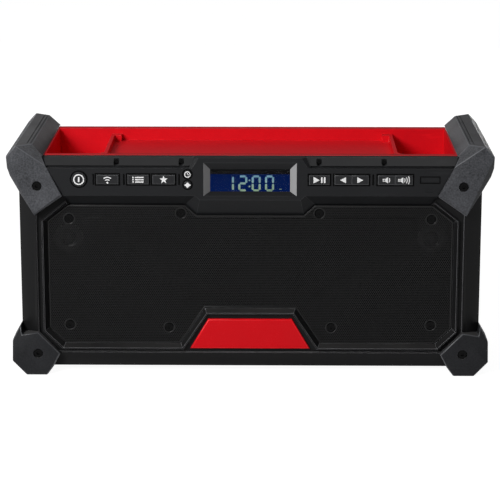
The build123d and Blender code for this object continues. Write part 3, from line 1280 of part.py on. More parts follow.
def aux_jack():
    x, z = PORT_X + JACK_OFFSET, port_centre_z()
    front = RECESS_Y + PORT_PROUD
    barrel = rod_y(x, z, JACK_BARREL_RADIUS, port_back_y(), front)
    body = prism_y(rectangle(x, z, 11, 11), port_back_y(), RECESS_Y - WALL)
    return barrel + body - rod_y(x, z, JACK_RADIUS, port_back_y() - 1, front + 1)


def usb_port():
    x, z = PORT_X + USB_OFFSET, port_centre_z()
    front = RECESS_Y + PORT_PROUD
    back = front - USB_SHELL[2]
    shell = prism_y(rectangle(x, z, USB_SHELL[0], USB_SHELL[1]), back, front)
    hollow = rectangle(x, z, USB_SHELL[0] - 2 * USB_SHEET, USB_SHELL[1] - 2 * USB_SHEET)
    shell -= prism_y(hollow, back + 1.5, front + 1)
    tongue = rectangle(x, z + 1.1, USB_SHELL[0] - 2.6, 1.8)
    return shell + prism_y(tongue, back, front - 1)


def port_board():
    """The small board that the jack and the port are soldered to, across their backs."""
    z = port_centre_z()
    board = prism_y(rectangle(PORT_X, z, *PORT_BOARD), port_back_y() - BOARD, port_back_y())
    return board - rod_y(PORT_X + JACK_OFFSET, z, JACK_RADIUS + 0.4, port_back_y() - BOARD - 1, port_back_y() + 1)


def ac_inlet():
    z = port_centre_z()
    width, height, depth = INLET_BODY
    front = RECESS_Y + PORT_PROUD
    body = prism_y(rectangle(INLET_X, z, width, height), front - depth, front)
    flange = prism_y(rectangle(INLET_X, z, width + 4, height + 4), RECESS_Y - WALL - 2, RECESS_Y - WALL)
    socket_w, socket_h, socket_d = INLET_SOCKET
    ends = rectangle(INLET_X, z, socket_w - socket_h, socket_h)
    bottom = front - socket_d
    socket = prism_y(ends, bottom, front + 1)
    for side in (-1, 1):
        socket += rod_y(INLET_X + side * (socket_w - socket_h) / 2, z, socket_h / 2, bottom, front + 1)
    return body + flange - socket


def inlet_pins():
    z = port_centre_z()
    bottom = RECESS_Y + PORT_PROUD - INLET_SOCKET[2]
    return group([
        rod_y(INLET_X + side * INLET_PIN_SPACING / 2, z, INLET_PIN_RADIUS, bottom, bottom + INLET_PIN_LENGTH)
        for side in (-1, 1)
    ])


def port_cover(centre):
    """A rubber flap that lies flush in its seat and turns up on a pin along its top edge."""
    half = RECESS_HALF_WIDTH + COVER_LAP
    low = RECESS_BASE - COVER_LAP
    flap = block((centre - half, centre + half), (REAR_Y - COVER_THICKNESS, REAR_Y), (low, HINGE_Z))
    flap += rod_x(HINGE_Y, HINGE_Z, HINGE_RADIUS, centre - half, centre + half)
    width, proud, height = COVER_TAB
    flap += block((centre - width / 2, centre + width / 2), (REAR_Y - 1, REAR_Y + proud), (low, low + height))
    return flap - rod_x(HINGE_Y, HINGE_Z, HINGE_PIN_RADIUS + HOLE_GAP / 2, centre - half - 1, centre + half + 1)


def cover_pin(centre):
    half = RECESS_HALF_WIDTH + COVER_LAP + HINGE_EAR
    return rod_x(HINGE_Y, HINGE_Z, HINGE_PIN_RADIUS, centre - half, centre + half)


# ---- Boards ----
def main_board_posts():
    x = BAY_HALF_WIDTH - BOARD_POST_INSET
    return [(side * x, BAY_Y + row) for side in (-1, 1) for row in BOARD_POST_ROWS]


def power_board_posts():
    half_x, half_y = POWER_BOARD[0] / 2 - POWER_POST_INSET, POWER_BOARD[1] / 2 - POWER_POST_INSET
    return [(i * half_x, POWER_BOARD_Y + j * half_y) for i in (-1, 1) for j in (-1, 1)]


def board_screw_seats():
    """X, Y and the height of the head's seat of each screw that holds a level board to its posts."""
    main_seat = BAY_ROOF + MAIN_BOARD_LIFT + BOARD
    power_seat = BODY_BOTTOM + WALL + POWER_BOARD_LIFT + BOARD
    seats = [(x, y, main_seat) for x, y in main_board_posts()]
    return seats + [(x, y, power_seat) for x, y in power_board_posts()]


def drilled(board):
    """A level board with a hole for each screw."""
    for x, y, seat in board_screw_seats():
        board -= rod_z(x, y, BOARD_SCREW[2] + HOLE_GAP, seat - BOARD - 1, seat + 1)
    return board


def main_board():
    z = BAY_ROOF + MAIN_BOARD_LIFT
    half_x, half_y = MAIN_BOARD[0] / 2, MAIN_BOARD[1] / 2
    return drilled(block((-half_x, half_x), (MAIN_BOARD_Y - half_y, MAIN_BOARD_Y + half_y), (z, z + BOARD)))


def heatsink():
    width, depth, height = HEATSINK
    z = BAY_ROOF + MAIN_BOARD_LIFT + BOARD
    y = MAIN_BOARD_Y - MAIN_BOARD[1] / 2 + 4
    sink = block((-width / 2, width / 2), (y, y + depth), (z, z + HEATSINK_BASE))
    pitch = width / HEATSINK_FINS
    for i in range(HEATSINK_FINS):
        x = -width / 2 + pitch * (i + 0.5)
        sink += block((x - 1, x + 1), (y, y + depth), (z, z + height))
    return sink


def antenna_rod():
    z = BAY_ROOF + MAIN_BOARD_LIFT + BOARD + CLIP[2] - ANTENNA_RADIUS / 2
    return rod_x(ANTENNA_Y, z, ANTENNA_RADIUS, -ANTENNA_LENGTH / 2, ANTENNA_LENGTH / 2)


def antenna_clips():
    width, depth, height = CLIP
    base = BAY_ROOF + MAIN_BOARD_LIFT + BOARD
    rod_z = base + height - ANTENNA_RADIUS / 2
    clips = []
    for side in (-1, 1):
        x = side * ANTENNA_LENGTH * 0.36
        clip = block((x - width / 2, x + width / 2), (ANTENNA_Y - depth / 2, ANTENNA_Y + depth / 2), (base, base + height))
        clips.append(clip - rod_x(ANTENNA_Y, rod_z, ANTENNA_RADIUS + HOLE_GAP, x - width, x + width))
    return group(clips)


def power_board():
    z = BODY_BOTTOM + WALL + POWER_BOARD_LIFT
    half_x, half_y = POWER_BOARD[0] / 2, POWER_BOARD[1] / 2
    return drilled(block((-half_x, half_x), (POWER_BOARD_Y - half_y, POWER_BOARD_Y + half_y), (z, z + BOARD)))


def transformer():
    width, depth, height = TRANSFORMER
    z = BODY_BOTTOM + WALL + POWER_BOARD_LIFT + BOARD
    core = block((-width / 2, width / 2), (POWER_BOARD_Y - depth / 2, POWER_BOARD_Y + depth / 2), (z, z + height))
    return fillet(core.edges().filter_by(Axis.Z), 2.0)


def capacitors():
    z = BODY_BOTTOM + WALL + POWER_BOARD_LIFT + BOARD
    can = rod_z(0, 0, CAPACITOR_RADIUS, z, z + CAPACITOR_HEIGHT)
    can = fillet(can.edges().group_by(Axis.Z)[-1], CAPACITOR_EDGE)
    x = TRANSFORMER[0] / 2 + CAPACITOR_RADIUS + CAPACITOR_CLEARANCE
    step = CAPACITOR_SPACING / 2
    return group([Pos(i * x, POWER_BOARD_Y + j * step, 0) * can for i in (-1, 1) for j in (-1, 1)])


# ---- Screw groups ----
def grille_screws():
    seat = grille_screw_seat()
    return group([socket_screw_y(x, z, seat, GRILLE_SCREW, -1) for x, z in grille_screw_places()])


def fascia_screws():
    z = RIM_HEIGHT - FASCIA_SCREW_DROP
    return group([
        socket_screw_y(side * x, z, fascia_screw_seat(), FASCIA_SCREW, -1)
        for x in FASCIA_SCREWS_X for side in (-1, 1)
    ])


def board_screws():
    screws = [socket_screw_y(x, KEY_Z, BOARD_BACK, BOARD_SCREW, 1) for x in board_boss_places()]
    for x, y, seat in board_screw_seats():
        screws.append(Pos(x, y, seat) * Rot(90, 0, 0) * socket_screw_y(0, 0, 0, BOARD_SCREW, 1))
    return group(screws)


def woofer_screws():
    seat = BAFFLE_BACK + WOOFER_GASKET + WOOFER_FLANGE
    places = [woofer_screw_place(side, angle) for side in (-1, 1) for angle in WOOFER_SCREW_ANGLES]
    return group([socket_screw_y(x, z, seat, WOOFER_SCREW, 1) for x, z in places])


def housing_screws():
    seat = REAR_Y - HOUSING_BORE_DEPTH
    return group([socket_screw_y(x, z, seat, HOUSING_SCREW, 1) for x, z in housing_screw_places()])


# ---- Every node, by name ----
def build_nodes():
    nodes = {
        "front_housing": front_housing(),
        "rear_housing": rear_housing(),
        "housing_seal": housing_seal(),
        "top_tray": top_tray(),
        "speaker_grille": speaker_grille(),
        "badge_plate": badge_plate(),
        "control_fascia": control_fascia(),
        "display_lens": display_lens(),
        "lcd_panel": lcd_panel(),
        "lcd_backlight": lcd_backlight(),
        "keypad_membrane": keypad_membrane(),
        "keypad_board": keypad_board(),
        "main_board": main_board(),
        "heatsink": heatsink(),
        "antenna_rod": antenna_rod(),
        "antenna_clips": antenna_clips(),
        "power_board": power_board(),
        "transformer": transformer(),
        "capacitors": capacitors(),
        "battery_dock": battery_dock(),
        "terminal_block": terminal_block(),
        "battery_terminals": blade_group(0),
        "aux_jack": aux_jack(),
        "usb_port": usb_port(),
        "port_board": port_board(),
        "ac_inlet": ac_inlet(),
        "inlet_pins": inlet_pins(),
        "port_cover": port_cover(PORT_X),
        "inlet_cover": port_cover(INLET_X),
        "cover_pins": group([cover_pin(PORT_X), cover_pin(INLET_X)]),
        "guard_screws": guard_screws(),
        "grille_screws": grille_screws(),
        "fascia_screws": fascia_screws(),
        "board_screws": board_screws(),
        "woofer_screws": woofer_screws(),
        "housing_screws": housing_screws(),
    }
    for name, edges in rectangular_keys().items():
        nodes[name] = rectangular_key(edges)
    for name, place in round_keys().items():
        nodes[name] = round_key(*place)
    for name, edges in rocker_keys().items():
        nodes[name] = rocker_key(edges)
    upper, lower = upper_guard(), lower_guard()
    nodes["upper_guard_right"], nodes["upper_guard_left"] = upper, mirrored_x(upper)
    nodes["lower_guard_right"], nodes["lower_guard_left"] = lower, mirrored_x(lower)
    for name, side in (("left", -1), ("right", 1)):
        nodes[f"woofer_frame_{name}"] = woofer_frame(side)
        nodes[f"woofer_cone_{name}"] = woofer_cone(side)
        nodes[f"woofer_magnet_{name}"] = woofer_magnet(side)
        nodes[f"tweeter_frame_{name}"] = tweeter_frame(side)
    nodes["woofer_gaskets"] = group([woofer_gasket(-1), woofer_gasket(1)])
    nodes["tweeter_domes"] = group([tweeter_dome(-1), tweeter_dome(1)])
    return nodes


os.makedirs("parts", exist_ok=True)
for node_name, shape in build_nodes().items():
    export_step(shape, f"parts/{node_name}.step")
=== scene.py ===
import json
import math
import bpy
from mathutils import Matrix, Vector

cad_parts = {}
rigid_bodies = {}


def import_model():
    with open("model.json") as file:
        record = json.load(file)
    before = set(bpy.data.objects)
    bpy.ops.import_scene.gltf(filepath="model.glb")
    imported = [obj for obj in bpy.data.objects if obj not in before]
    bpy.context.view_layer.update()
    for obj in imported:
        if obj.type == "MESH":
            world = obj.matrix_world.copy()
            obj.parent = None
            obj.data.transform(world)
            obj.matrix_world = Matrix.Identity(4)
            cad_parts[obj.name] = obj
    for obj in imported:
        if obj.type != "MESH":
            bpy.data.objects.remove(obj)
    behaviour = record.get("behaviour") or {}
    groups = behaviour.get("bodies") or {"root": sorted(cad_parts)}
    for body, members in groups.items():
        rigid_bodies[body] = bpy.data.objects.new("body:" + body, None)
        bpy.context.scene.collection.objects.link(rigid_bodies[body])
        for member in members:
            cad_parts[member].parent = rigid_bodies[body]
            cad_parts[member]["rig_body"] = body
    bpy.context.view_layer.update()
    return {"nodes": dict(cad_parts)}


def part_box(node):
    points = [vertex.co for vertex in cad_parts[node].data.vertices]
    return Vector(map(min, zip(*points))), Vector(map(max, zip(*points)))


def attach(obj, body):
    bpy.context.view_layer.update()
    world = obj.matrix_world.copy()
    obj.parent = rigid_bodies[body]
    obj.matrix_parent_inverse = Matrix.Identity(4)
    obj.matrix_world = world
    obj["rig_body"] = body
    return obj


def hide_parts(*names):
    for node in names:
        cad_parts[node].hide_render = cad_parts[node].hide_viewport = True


bl_info = {
    "name": "Jobsite Radio",
    "version": (1, 0, 0),
    "blender": (4, 5, 0),
    "location": "View3D > Sidebar > Radio",
    "description": "Dresses a packed jobsite radio: grille, rubber guards, keys, display and finishes",
    "category": "Object",
}

import bmesh
import bpy
from bpy.props import FloatProperty, FloatVectorProperty, IntProperty, PointerProperty, StringProperty
from mathutils import Matrix, Vector
from mathutils.bvhtree import BVHTree

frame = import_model()
MM = 0.001
MERGE = 0.002 * MM
FORWARD = Vector((0, -1, 0))
DUST_COLOUR = (0.30, 0.29, 0.28)
KEY_COLOUR = (0.020, 0.0205, 0.022)


# ---- What a user may set ----
def length(name, description, default, low=0.0):
    return FloatProperty(
        name=name, description=description, default=default, min=low, unit="LENGTH", precision=5
    )


def colour(name, description, default):
    return FloatVectorProperty(
        name=name, description=description, default=default, size=3, min=0.0, max=1.0, subtype="COLOR"
    )


def share(name, description, default, high=1.0):
    return FloatProperty(
        name=name, description=description, default=default, min=0.0, max=high, subtype="FACTOR"
    )


def lamp_power(name, description, default):
    return FloatProperty(name=name, description=description, default=default, min=0.0, unit="POWER")


class StageSettings(bpy.types.PropertyGroup):
    key_power: lamp_power("Key Light", "Power of the large lamp on the upper left", 23.0)
    back_power: lamp_power("Back Light", "Power of the low strip lamp behind the radio", 8.0)
    fill_power: lamp_power("Fill Light", "Power of the lamp on the right", 0.8)
    top_strength: share("Top Light", "Strength of the soft light from above and behind", 0.40, 10.0)
    softness: FloatProperty(
        name="Softness", description="How wide the top light is", default=math.radians(24), min=0.0,
        max=math.radians(90), unit="ROTATION",
    )
    sky: share("Sky", "Strength of the even light from all round", 0.10, 2.0)
    floor_colour: colour("Floor", "Colour of the floor", (0.20, 0.20, 0.20))
    floor_glow: share("Floor Glow", "How much paler the floor looks than its light makes it", 0.95)


class EdgeSettings(bpy.types.PropertyGroup):
    guard_edge: length("Guard Edge", "Radius of the rounding along the rubber guards", 0.9 * MM)
    housing_edge: length("Housing Edge", "Radius of the rounding along the housings", 0.5 * MM)
    fascia_edge: length("Fascia Edge", "Radius of the rounding along the fascia", 0.35 * MM)
    tray_edge: length("Tray Edge", "Radius of the rounding along the tray", 0.5 * MM)
    key_edge: length("Key Edge", "Radius of the rounding round each key", 0.25 * MM)
    steps: IntProperty(name="Steps", description="Faces across each rounded edge", default=2, min=1, max=6)


class FinishSettings(bpy.types.PropertyGroup):
    housing_colour: colour("Housings", "Moulded charcoal plastic", (0.0095, 0.0095, 0.0100))
    fascia_colour: colour("Fascia", "Satin charcoal plastic", (0.012, 0.0125, 0.0138))
    guard_colour: colour("Guards", "Charcoal rubber with a blue cast", (0.072, 0.074, 0.081))
    tray_colour: colour("Tray", "Moulded red plastic", (0.70, 0.005, 0.012))
    badge_colour: colour("Badge", "Bare red plate", (0.74, 0.002, 0.008))
    grille_colour: colour("Grille", "Powder coat on the perforated sheet", (0.0185, 0.0185, 0.019))
    symbol_colour: colour("Symbols", "White ink on the keys", (0.95, 0.95, 0.95))
    grain: share("Grain", "Depth of the moulded grain", 0.35)


class GrilleSettings(bpy.types.PropertyGroup):
    pitch: length("Pitch", "Distance between the centres of two holes in a row", 1.67 * MM, 0.5 * MM)
    web: length("Web", "Width of the metal between two holes", 0.44 * MM, 0.1 * MM)
    sheet: length("Sheet", "Thickness of the perforated sheet", 0.45 * MM)
    border: length("Border", "Width of the plain margin round the holes", 1.2 * MM)


class DisplaySettings(bpy.types.PropertyGroup):
    time: StringProperty(name="Time", description="Digits on the clock, with a colon", default="12:00")
    digit_height: length("Digit Height", "Height of each digit", 13.9 * MM)
    digit_width: length("Digit Width", "Width of each digit", 7.8 * MM)
    stroke: length("Stroke", "Width of each segment", 2.0 * MM)
    gap: length("Gap", "Space between two digits", 3.35 * MM)
    mask: length("Mask", "Height of the black band above the glass", 7.1 * MM)
    lit_colour: colour("Lit Segments", "Colour of the segments that are on", (0.115, 0.225, 0.29))
    glass_colour: colour("Glass", "Colour of the display behind its segments", (0.0012, 0.0095, 0.070))


class SymbolSettings(bpy.types.PropertyGroup):
    relief: length("Relief", "How far the ink stands on a key", 0.12 * MM)
    line: length("Line", "Width of a drawn line", 0.75 * MM)


def settings():
    return bpy.context.scene.radio


class RadioSettings(bpy.types.PropertyGroup):
    stage: PointerProperty(type=StageSettings, name="Stage", description="Floor, lights and camera")
    edges: PointerProperty(type=EdgeSettings, name="Edges", description="How far each edge is rounded")
    finish: PointerProperty(type=FinishSettings, name="Finish", description="Colours of the surfaces")
    grille: PointerProperty(type=GrilleSettings, name="Grille", description="The perforated sheet")
    display: PointerProperty(type=DisplaySettings, name="Display", description="The clock")
    symbols: PointerProperty(type=SymbolSettings, name="Symbols", description="The marks on the keys")


# ---- Surface effects that several materials share ----
def effect_group(name, inputs, outputs):
    """An empty node group with its sockets. Returns its tree, its input node and its output node."""
    tree = bpy.data.node_groups.new(name, "ShaderNodeTree")
    for label, default in inputs.items():
        socket = tree.interface.new_socket(label, in_out="INPUT", socket_type="NodeSocketFloat")
        socket.default_value = default
    for label in outputs:
        tree.interface.new_socket(label, in_out="OUTPUT", socket_type="NodeSocketFloat")
    return tree, tree.nodes.new("NodeGroupInput"), tree.nodes.new("NodeGroupOutput")


def feed(tree, socket, value):
    """Links an input to an output, or sets it to a value."""
    if isinstance(value, bpy.types.NodeSocket):
        tree.links.new(value, socket)
    else:
        socket.default_value = value


def math_node(tree, operation, first, second):
    """A Math node. Each of first and second is a socket or a number."""
    node = tree.nodes.new("ShaderNodeMath")
    node.operation = operation
    for socket, value in zip(node.inputs, (first, second)):
        feed(tree, socket, value)
    return node.outputs[0]


def place_on_piece(tree):
    """Each point's place in the piece's own frame."""
    return tree.nodes.new("ShaderNodeTexCoord").outputs["Object"]


def noise(tree, place, scale, detail):
    """A Noise node's value. The scale is a socket or a number."""
    node = tree.nodes.new("ShaderNodeTexNoise")
    tree.links.new(place, node.inputs["Vector"])
    feed(tree, node.inputs["Scale"], scale)
    node.inputs["Detail"].default_value = detail
    return node.outputs["Fac"]


def above(tree, value, threshold, gain):
    """How far a value rises above a threshold, times a gain."""
    risen = math_node(tree, "SUBTRACT", value, threshold)
    return math_node(tree, "MAXIMUM", math_node(tree, "MULTIPLY", risen, gain), 0.0)


def moulded_grain():
    """Fine pebbled texture of a spark-eroded mould, with a slow change of tone over the surface."""
    if "moulded_grain" in bpy.data.node_groups:
        return bpy.data.node_groups["moulded_grain"]
    tree, given, made = effect_group("moulded_grain", {"Scale": 1800.0}, ("Height", "Tone"))
    place = place_on_piece(tree)
    pebble = tree.nodes.new("ShaderNodeTexVoronoi")
    pebble.feature = "SMOOTH_F1"
    tree.links.new(place, pebble.inputs["Vector"])
    tree.links.new(given.outputs["Scale"], pebble.inputs["Scale"])
    speckle = noise(tree, place, math_node(tree, "MULTIPLY", given.outputs["Scale"], 0.6), 3.0)
    cloud = noise(tree, place, 35.0, 4.0)
    height = math_node(tree, "ADD", pebble.outputs["Distance"], speckle)
    tree.links.new(math_node(tree, "MULTIPLY", height, 0.5), made.inputs["Height"])
    # The cloud counts for less than the speckle, and their sum is brought back to about one.
    tone = math_node(tree, "ADD", speckle, math_node(tree, "MULTIPLY", cloud, 0.8))
    tree.links.new(math_node(tree, "MULTIPLY", tone, 0.555), made.inputs["Tone"])
    return tree


def handling_marks():
    """Short rubbed streaks, and dust that settles on what faces up."""
    if "handling_marks" in bpy.data.node_groups:
        return bpy.data.node_groups["handling_marks"]
    tree, given, made = effect_group("handling_marks", {"Amount": 0.5}, ("Streaks", "Dust"))
    place = place_on_piece(tree)
    # Streaks are longest along the radio and lean a little.
    turned = tree.nodes.new("ShaderNodeMapping")
    turned.inputs["Rotation"].default_value = (0.3, 0.5, 0.2)
    turned.inputs["Scale"].default_value = (30.0, 200.0, 260.0)
    tree.links.new(place, turned.inputs["Vector"])
    streak = noise(tree, turned.outputs["Vector"], 1.0, 5.0)
    patch = noise(tree, place, 22.0, 3.0)
    thin = above(tree, streak, threshold=0.60, gain=9.0)
    here = above(tree, patch, threshold=0.50, gain=6.0)
    rubbed = math_node(tree, "MINIMUM", math_node(tree, "MULTIPLY", thin, here), 1.0)
    streaks = math_node(tree, "MULTIPLY", rubbed, given.outputs["Amount"])
    tree.links.new(streaks, made.inputs["Streaks"])
    facing = tree.nodes.new("ShaderNodeSeparateXYZ")
    tree.links.new(tree.nodes.new("ShaderNodeNewGeometry").outputs["Normal"], facing.inputs["Vector"])
    upward = math_node(tree, "POWER", math_node(tree, "MAXIMUM", facing.outputs["Z"], 0.0), 3.0)
    settled = math_node(tree, "MULTIPLY", upward, patch)
    tree.links.new(math_node(tree, "MULTIPLY", settled, given.outputs["Amount"]), made.inputs["Dust"])
    return tree


def known_material(name):
    """The finish of this name, if it has been made."""
    return bpy.data.materials.get(f"radio_{name}")


def new_material(name):
    material = bpy.data.materials.new(f"radio_{name}")
    material.use_nodes = True
    return material, material.node_tree, material.node_tree.nodes["Principled BSDF"]


def mixed(tree, factor, first, second):
    """A colour mix. Each colour is a socket or three numbers."""
    node = tree.nodes.new("ShaderNodeMix")
    node.data_type = "RGBA"
    tree.links.new(factor, node.inputs["Factor"])
    for socket, value in ((node.inputs["A"], first), (node.inputs["B"], second)):
        feed(tree, socket, value if isinstance(value, bpy.types.NodeSocket) else (*value, 1.0))
    return node.outputs["Result"]


def ranged(tree, value, low, high, start=0.25, stop=0.75):
    """A value that runs from low to high while its source runs from start to stop."""
    node = tree.nodes.new("ShaderNodeMapRange")
    tree.links.new(value, node.inputs["Value"])
    node.inputs["From Min"].default_value = start
    node.inputs["From Max"].default_value = stop
    node.inputs["To Min"].default_value = low
    node.inputs["To Max"].default_value = high
    return node.outputs["Result"]


def effect(tree, group, socket, value):
    """A shared effect in this material, with its own value."""
    node = tree.nodes.new("ShaderNodeGroup")
    node.node_tree = group
    node.inputs[socket].default_value = value
    return node.outputs


def grained_material(
    name, base, roughness, grain, depth, marks=0.3, dust=0.05, spread=0.18, shine=0.5, metallic=0.0
):
    """A moulded or coated surface: tone and roughness that wander a little, a grain of this scale and
    depth, rubbed streaks and settled dust."""
    if known_material(name):
        return known_material(name)
    material, tree, shader = new_material(name)
    mould = effect(tree, moulded_grain(), "Scale", grain)
    wear = effect(tree, handling_marks(), "Amount", marks)
    darker = [channel * (1.0 - spread) for channel in base]
    lighter = [channel * (1.0 + spread) for channel in base]
    rubbed = [min(1.0, channel * 1.5 + 0.012) for channel in base]
    tone = mixed(tree, ranged(tree, mould["Tone"], 0.0, 1.0), darker, lighter)
    worn = mixed(tree, wear["Streaks"], tone, rubbed)
    dusty = mixed(tree, math_node(tree, "MULTIPLY", wear["Dust"], dust * 4.0), worn, DUST_COLOUR)
    tree.links.new(dusty, shader.inputs["Base Color"])
    wander, polish = 0.05, 0.12
    rough = ranged(tree, mould["Tone"], max(0.02, roughness - wander), roughness + wander)
    rough = math_node(tree, "ADD", rough, math_node(tree, "MULTIPLY", wear["Streaks"], -polish))
    tree.links.new(rough, shader.inputs["Roughness"])
    bump = tree.nodes.new("ShaderNodeBump")
    bump.inputs["Strength"].default_value = min(1.0, settings().finish.grain * 2.0)
    bump.inputs["Distance"].default_value = depth
    tree.links.new(mould["Height"], bump.inputs["Height"])
    tree.links.new(bump.outputs["Normal"], shader.inputs["Normal"])
    shader.inputs["Specular IOR Level"].default_value = shine
    shader.inputs["Metallic"].default_value = metallic
    return material


def glowing_material(name, foot_z, top_z, foot, top, strength, roughness):
    """A surface that glows and shades from one colour at the foot's height to another at the top's."""
    if known_material(name):
        return known_material(name)
    material, tree, shader = new_material(name)
    place = tree.nodes.new("ShaderNodeSeparateXYZ")
    tree.links.new(place_on_piece(tree), place.inputs["Vector"])
    glow = mixed(tree, ranged(tree, place.outputs["Z"], 0.0, 1.0, foot_z, top_z), foot, top)
    tree.links.new(glow, shader.inputs["Base Color"])
    tree.links.new(glow, shader.inputs["Emission Color"])
    shader.inputs["Emission Strength"].default_value = strength
    shader.inputs["Roughness"].default_value = roughness
    shader.inputs["Specular IOR Level"].default_value = 0.05
    return material


# ---- Finishes, by the name of the material ----
def edge_painted_highlight(name, base, highlight_lift):
    """The same plastic on its rounded edges, made paler by the lift as a painted highlight."""
    paler = [min(1.0, channel * highlight_lift) for channel in base]
    return grained_material(
        f"{name}_edge", paler, 0.42, grain=2600.0, depth=0.01 * MM, marks=0.1, dust=0.03, spread=0.1
    )


def housing_plastic():
    return grained_material(
        "housing_plastic", settings().finish.housing_colour, 0.50, grain=1500.0, depth=0.05 * MM,
        marks=0.35, dust=0.10, shine=0.1,
    )


def fascia_plastic():
    return grained_material(
        "fascia_plastic", settings().finish.fascia_colour, 0.44, grain=2200.0, depth=0.03 * MM,
        marks=0.25, dust=0.08, shine=0.15,
    )


def guard_rubber_painted_light(level):
    base, spread = settings().finish.guard_colour, 0.80
    # The lower guards take the same rubber darkened to 0.31 as painted shade, so upper and lower are a lit
    # and a shaded copy.
    if level == "lower":
        base, spread = [channel * 0.31 for channel in base], 0.45
    return grained_material(
        f"{level}_guard_rubber", base, 0.58, grain=1300.0, depth=0.12 * MM,
        marks=0.55, dust=0.14, spread=spread, shine=0.1,
    )


def tray_plastic():
    return grained_material(
        "tray_plastic", settings().finish.tray_colour, 0.40, grain=2000.0, depth=0.02 * MM,
        marks=0.25, dust=0.03, spread=0.06, shine=0.15,
    )


def badge_red():
    return grained_material(
        "badge_red", settings().finish.badge_colour, 0.26, grain=2600.0, depth=0.01 * MM,
        marks=0.15, dust=0.02, spread=0.05, shine=0.15,
    )


def grille_coat():
    return grained_material(
        "grille_coat", settings().finish.grille_colour, 0.42, grain=2600.0, depth=0.03 * MM,
        marks=0.2, shine=0.15,
    )


def seat_coat_painted_shade():
    """The same coat, rolled smooth and darkened as painted shade, on the rim and round the screws."""
    return grained_material(
        "seat_coat_painted_shade", (0.008, 0.008, 0.0082), 0.34, grain=2600.0, depth=0.01 * MM,
        marks=0.1, dust=0.0, spread=0.1, shine=0.3,
    )


def painted_shade_cloth():
    # Near-black, as painted shade of the inside seen through the holes.
    return grained_material(
        "painted_shade_cloth", (0.0015, 0.0015, 0.0015), 0.95, grain=3000.0, depth=0.05 * MM,
        marks=0.0, dust=0.0, spread=0.2, shine=0.02,
    )


def key_rubber():
    return grained_material("key_rubber", KEY_COLOUR, 0.44, grain=2400.0, depth=0.02 * MM, shine=0.15)


def painted_key_shade():
    # Near-black, as painted shade in the gaps round the keys and in the grooves between them.
    return grained_material(
        "painted_key_shade", (0.0025, 0.0025, 0.0026), 0.7, grain=3000.0, depth=0.02 * MM,
        marks=0.0, dust=0.0, spread=0.2, shine=0.05,
    )


def symbol_ink():
    return grained_material(
        "symbol_ink", settings().finish.symbol_colour, 0.55, grain=2800.0, depth=0.01 * MM,
        marks=0.1, dust=0.0, spread=0.03,
    )


def satin_trim_lit_and_shaded(tone):
    return grained_material(
        f"satin_trim_lit_and_shaded_{tone}", [0.34 * tone, 0.34 * tone, 0.345 * tone], 0.42, grain=2600.0, depth=0.01 * MM,
        marks=0.2, dust=0.02, spread=0.08, shine=0.3,
    )


def screw_black():
    return grained_material(
        "screw_black", (0.002, 0.002, 0.0022), 0.30, grain=3000.0, depth=0.02 * MM,
        marks=0.1, dust=0.0, spread=0.2, shine=0.08,
    )


def bright_steel():
    return grained_material(
        "bright_steel", (0.55, 0.55, 0.56), 0.28, grain=2600.0, depth=0.01 * MM,
        marks=0.4, dust=0.0, spread=0.06, metallic=1.0,
    )


def gold_contact():
    return grained_material(
        "gold_contact", (0.80, 0.58, 0.24), 0.24, grain=2600.0, depth=0.01 * MM,
        dust=0.0, spread=0.05, metallic=1.0,
    )


def cast_aluminium():
    return grained_material(
        "cast_aluminium", (0.45, 0.45, 0.46), 0.42, grain=1800.0, depth=0.03 * MM, spread=0.1, metallic=1.0
    )


def black_nylon():
    return grained_material(
        "black_nylon", (0.008, 0.008, 0.0083), 0.55, grain=1800.0, depth=0.03 * MM, dust=0.03, shine=0.2
    )


def cover_rubber():
    return grained_material(
        "cover_rubber", (0.022, 0.0225, 0.024), 0.66, grain=1300.0, depth=0.05 * MM, marks=0.4, dust=0.10
    )


def gasket_foam():
    return grained_material(
        "gasket_foam", (0.008, 0.008, 0.008), 0.90, grain=900.0, depth=0.15 * MM,
        marks=0.0, dust=0.02, spread=0.3, shine=0.1,
    )


def cone_paper():
    return grained_material(
        "cone_paper", (0.004, 0.004, 0.0042), 0.80, grain=700.0, depth=0.12 * MM,
        marks=0.1, dust=0.02, spread=0.3, shine=0.1,
    )


def tweeter_gloss():
    return grained_material(
        "tweeter_gloss", (0.004, 0.004, 0.0042), 0.30, grain=3000.0, depth=0.005 * MM,
        marks=0.05, dust=0.0, spread=0.05, shine=0.2,
    )


def dome_silk():
    return grained_material(
        "dome_silk", (0.006, 0.006, 0.0065), 0.60, grain=1600.0, depth=0.05 * MM,
        marks=0.0, dust=0.0, spread=0.2, shine=0.2,
    )


def ferrite():
    return grained_material(
        "ferrite", (0.050, 0.050, 0.052), 0.62, grain=1200.0, depth=0.06 * MM, marks=0.2, spread=0.2
    )


def circuit_board():
    return grained_material(
        "circuit_board", (0.012, 0.095, 0.035), 0.35, grain=1400.0, depth=0.02 * MM, marks=0.2, spread=0.25
    )


def core_tape():
    return grained_material(
        "core_tape", (0.52, 0.40, 0.08), 0.50, grain=900.0, depth=0.03 * MM, marks=0.1, spread=0.1
    )


def capacitor_sleeve():
    return grained_material(
        "capacitor_sleeve", (0.030, 0.035, 0.055), 0.28, grain=2200.0, depth=0.01 * MM, marks=0.1, spread=0.1
    )


def display_mask():
    return grained_material(
        "display_mask", (0.003, 0.003, 0.0035), 0.30, grain=2400.0, depth=0.005 * MM,
        marks=0.0, dust=0.0, spread=0.1, shine=0.05,
    )


def display_glass():
    """Deep blue glass, lit a little from below."""
    low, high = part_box("lcd_panel")
    base = settings().display.glass_colour
    foot, top = [channel * 1.12 for channel in base], [channel * 0.85 for channel in base]
    return glowing_material("display_glass", low.z, high.z, foot, top, strength=0.8, roughness=0.3)


def lit_segments():
    """Segments that shade from a cool tone at the top to a warm one at the foot."""
    low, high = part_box("lcd_panel")
    red, green, blue = settings().display.lit_colour
    warm, cool = (red * 1.45, green * 1.1, blue * 0.6), (red, green, blue)
    return glowing_material(
        "lit_segments", low.z + 6 * MM, high.z - 10 * MM, warm, cool, strength=0.5, roughness=0.4
    )


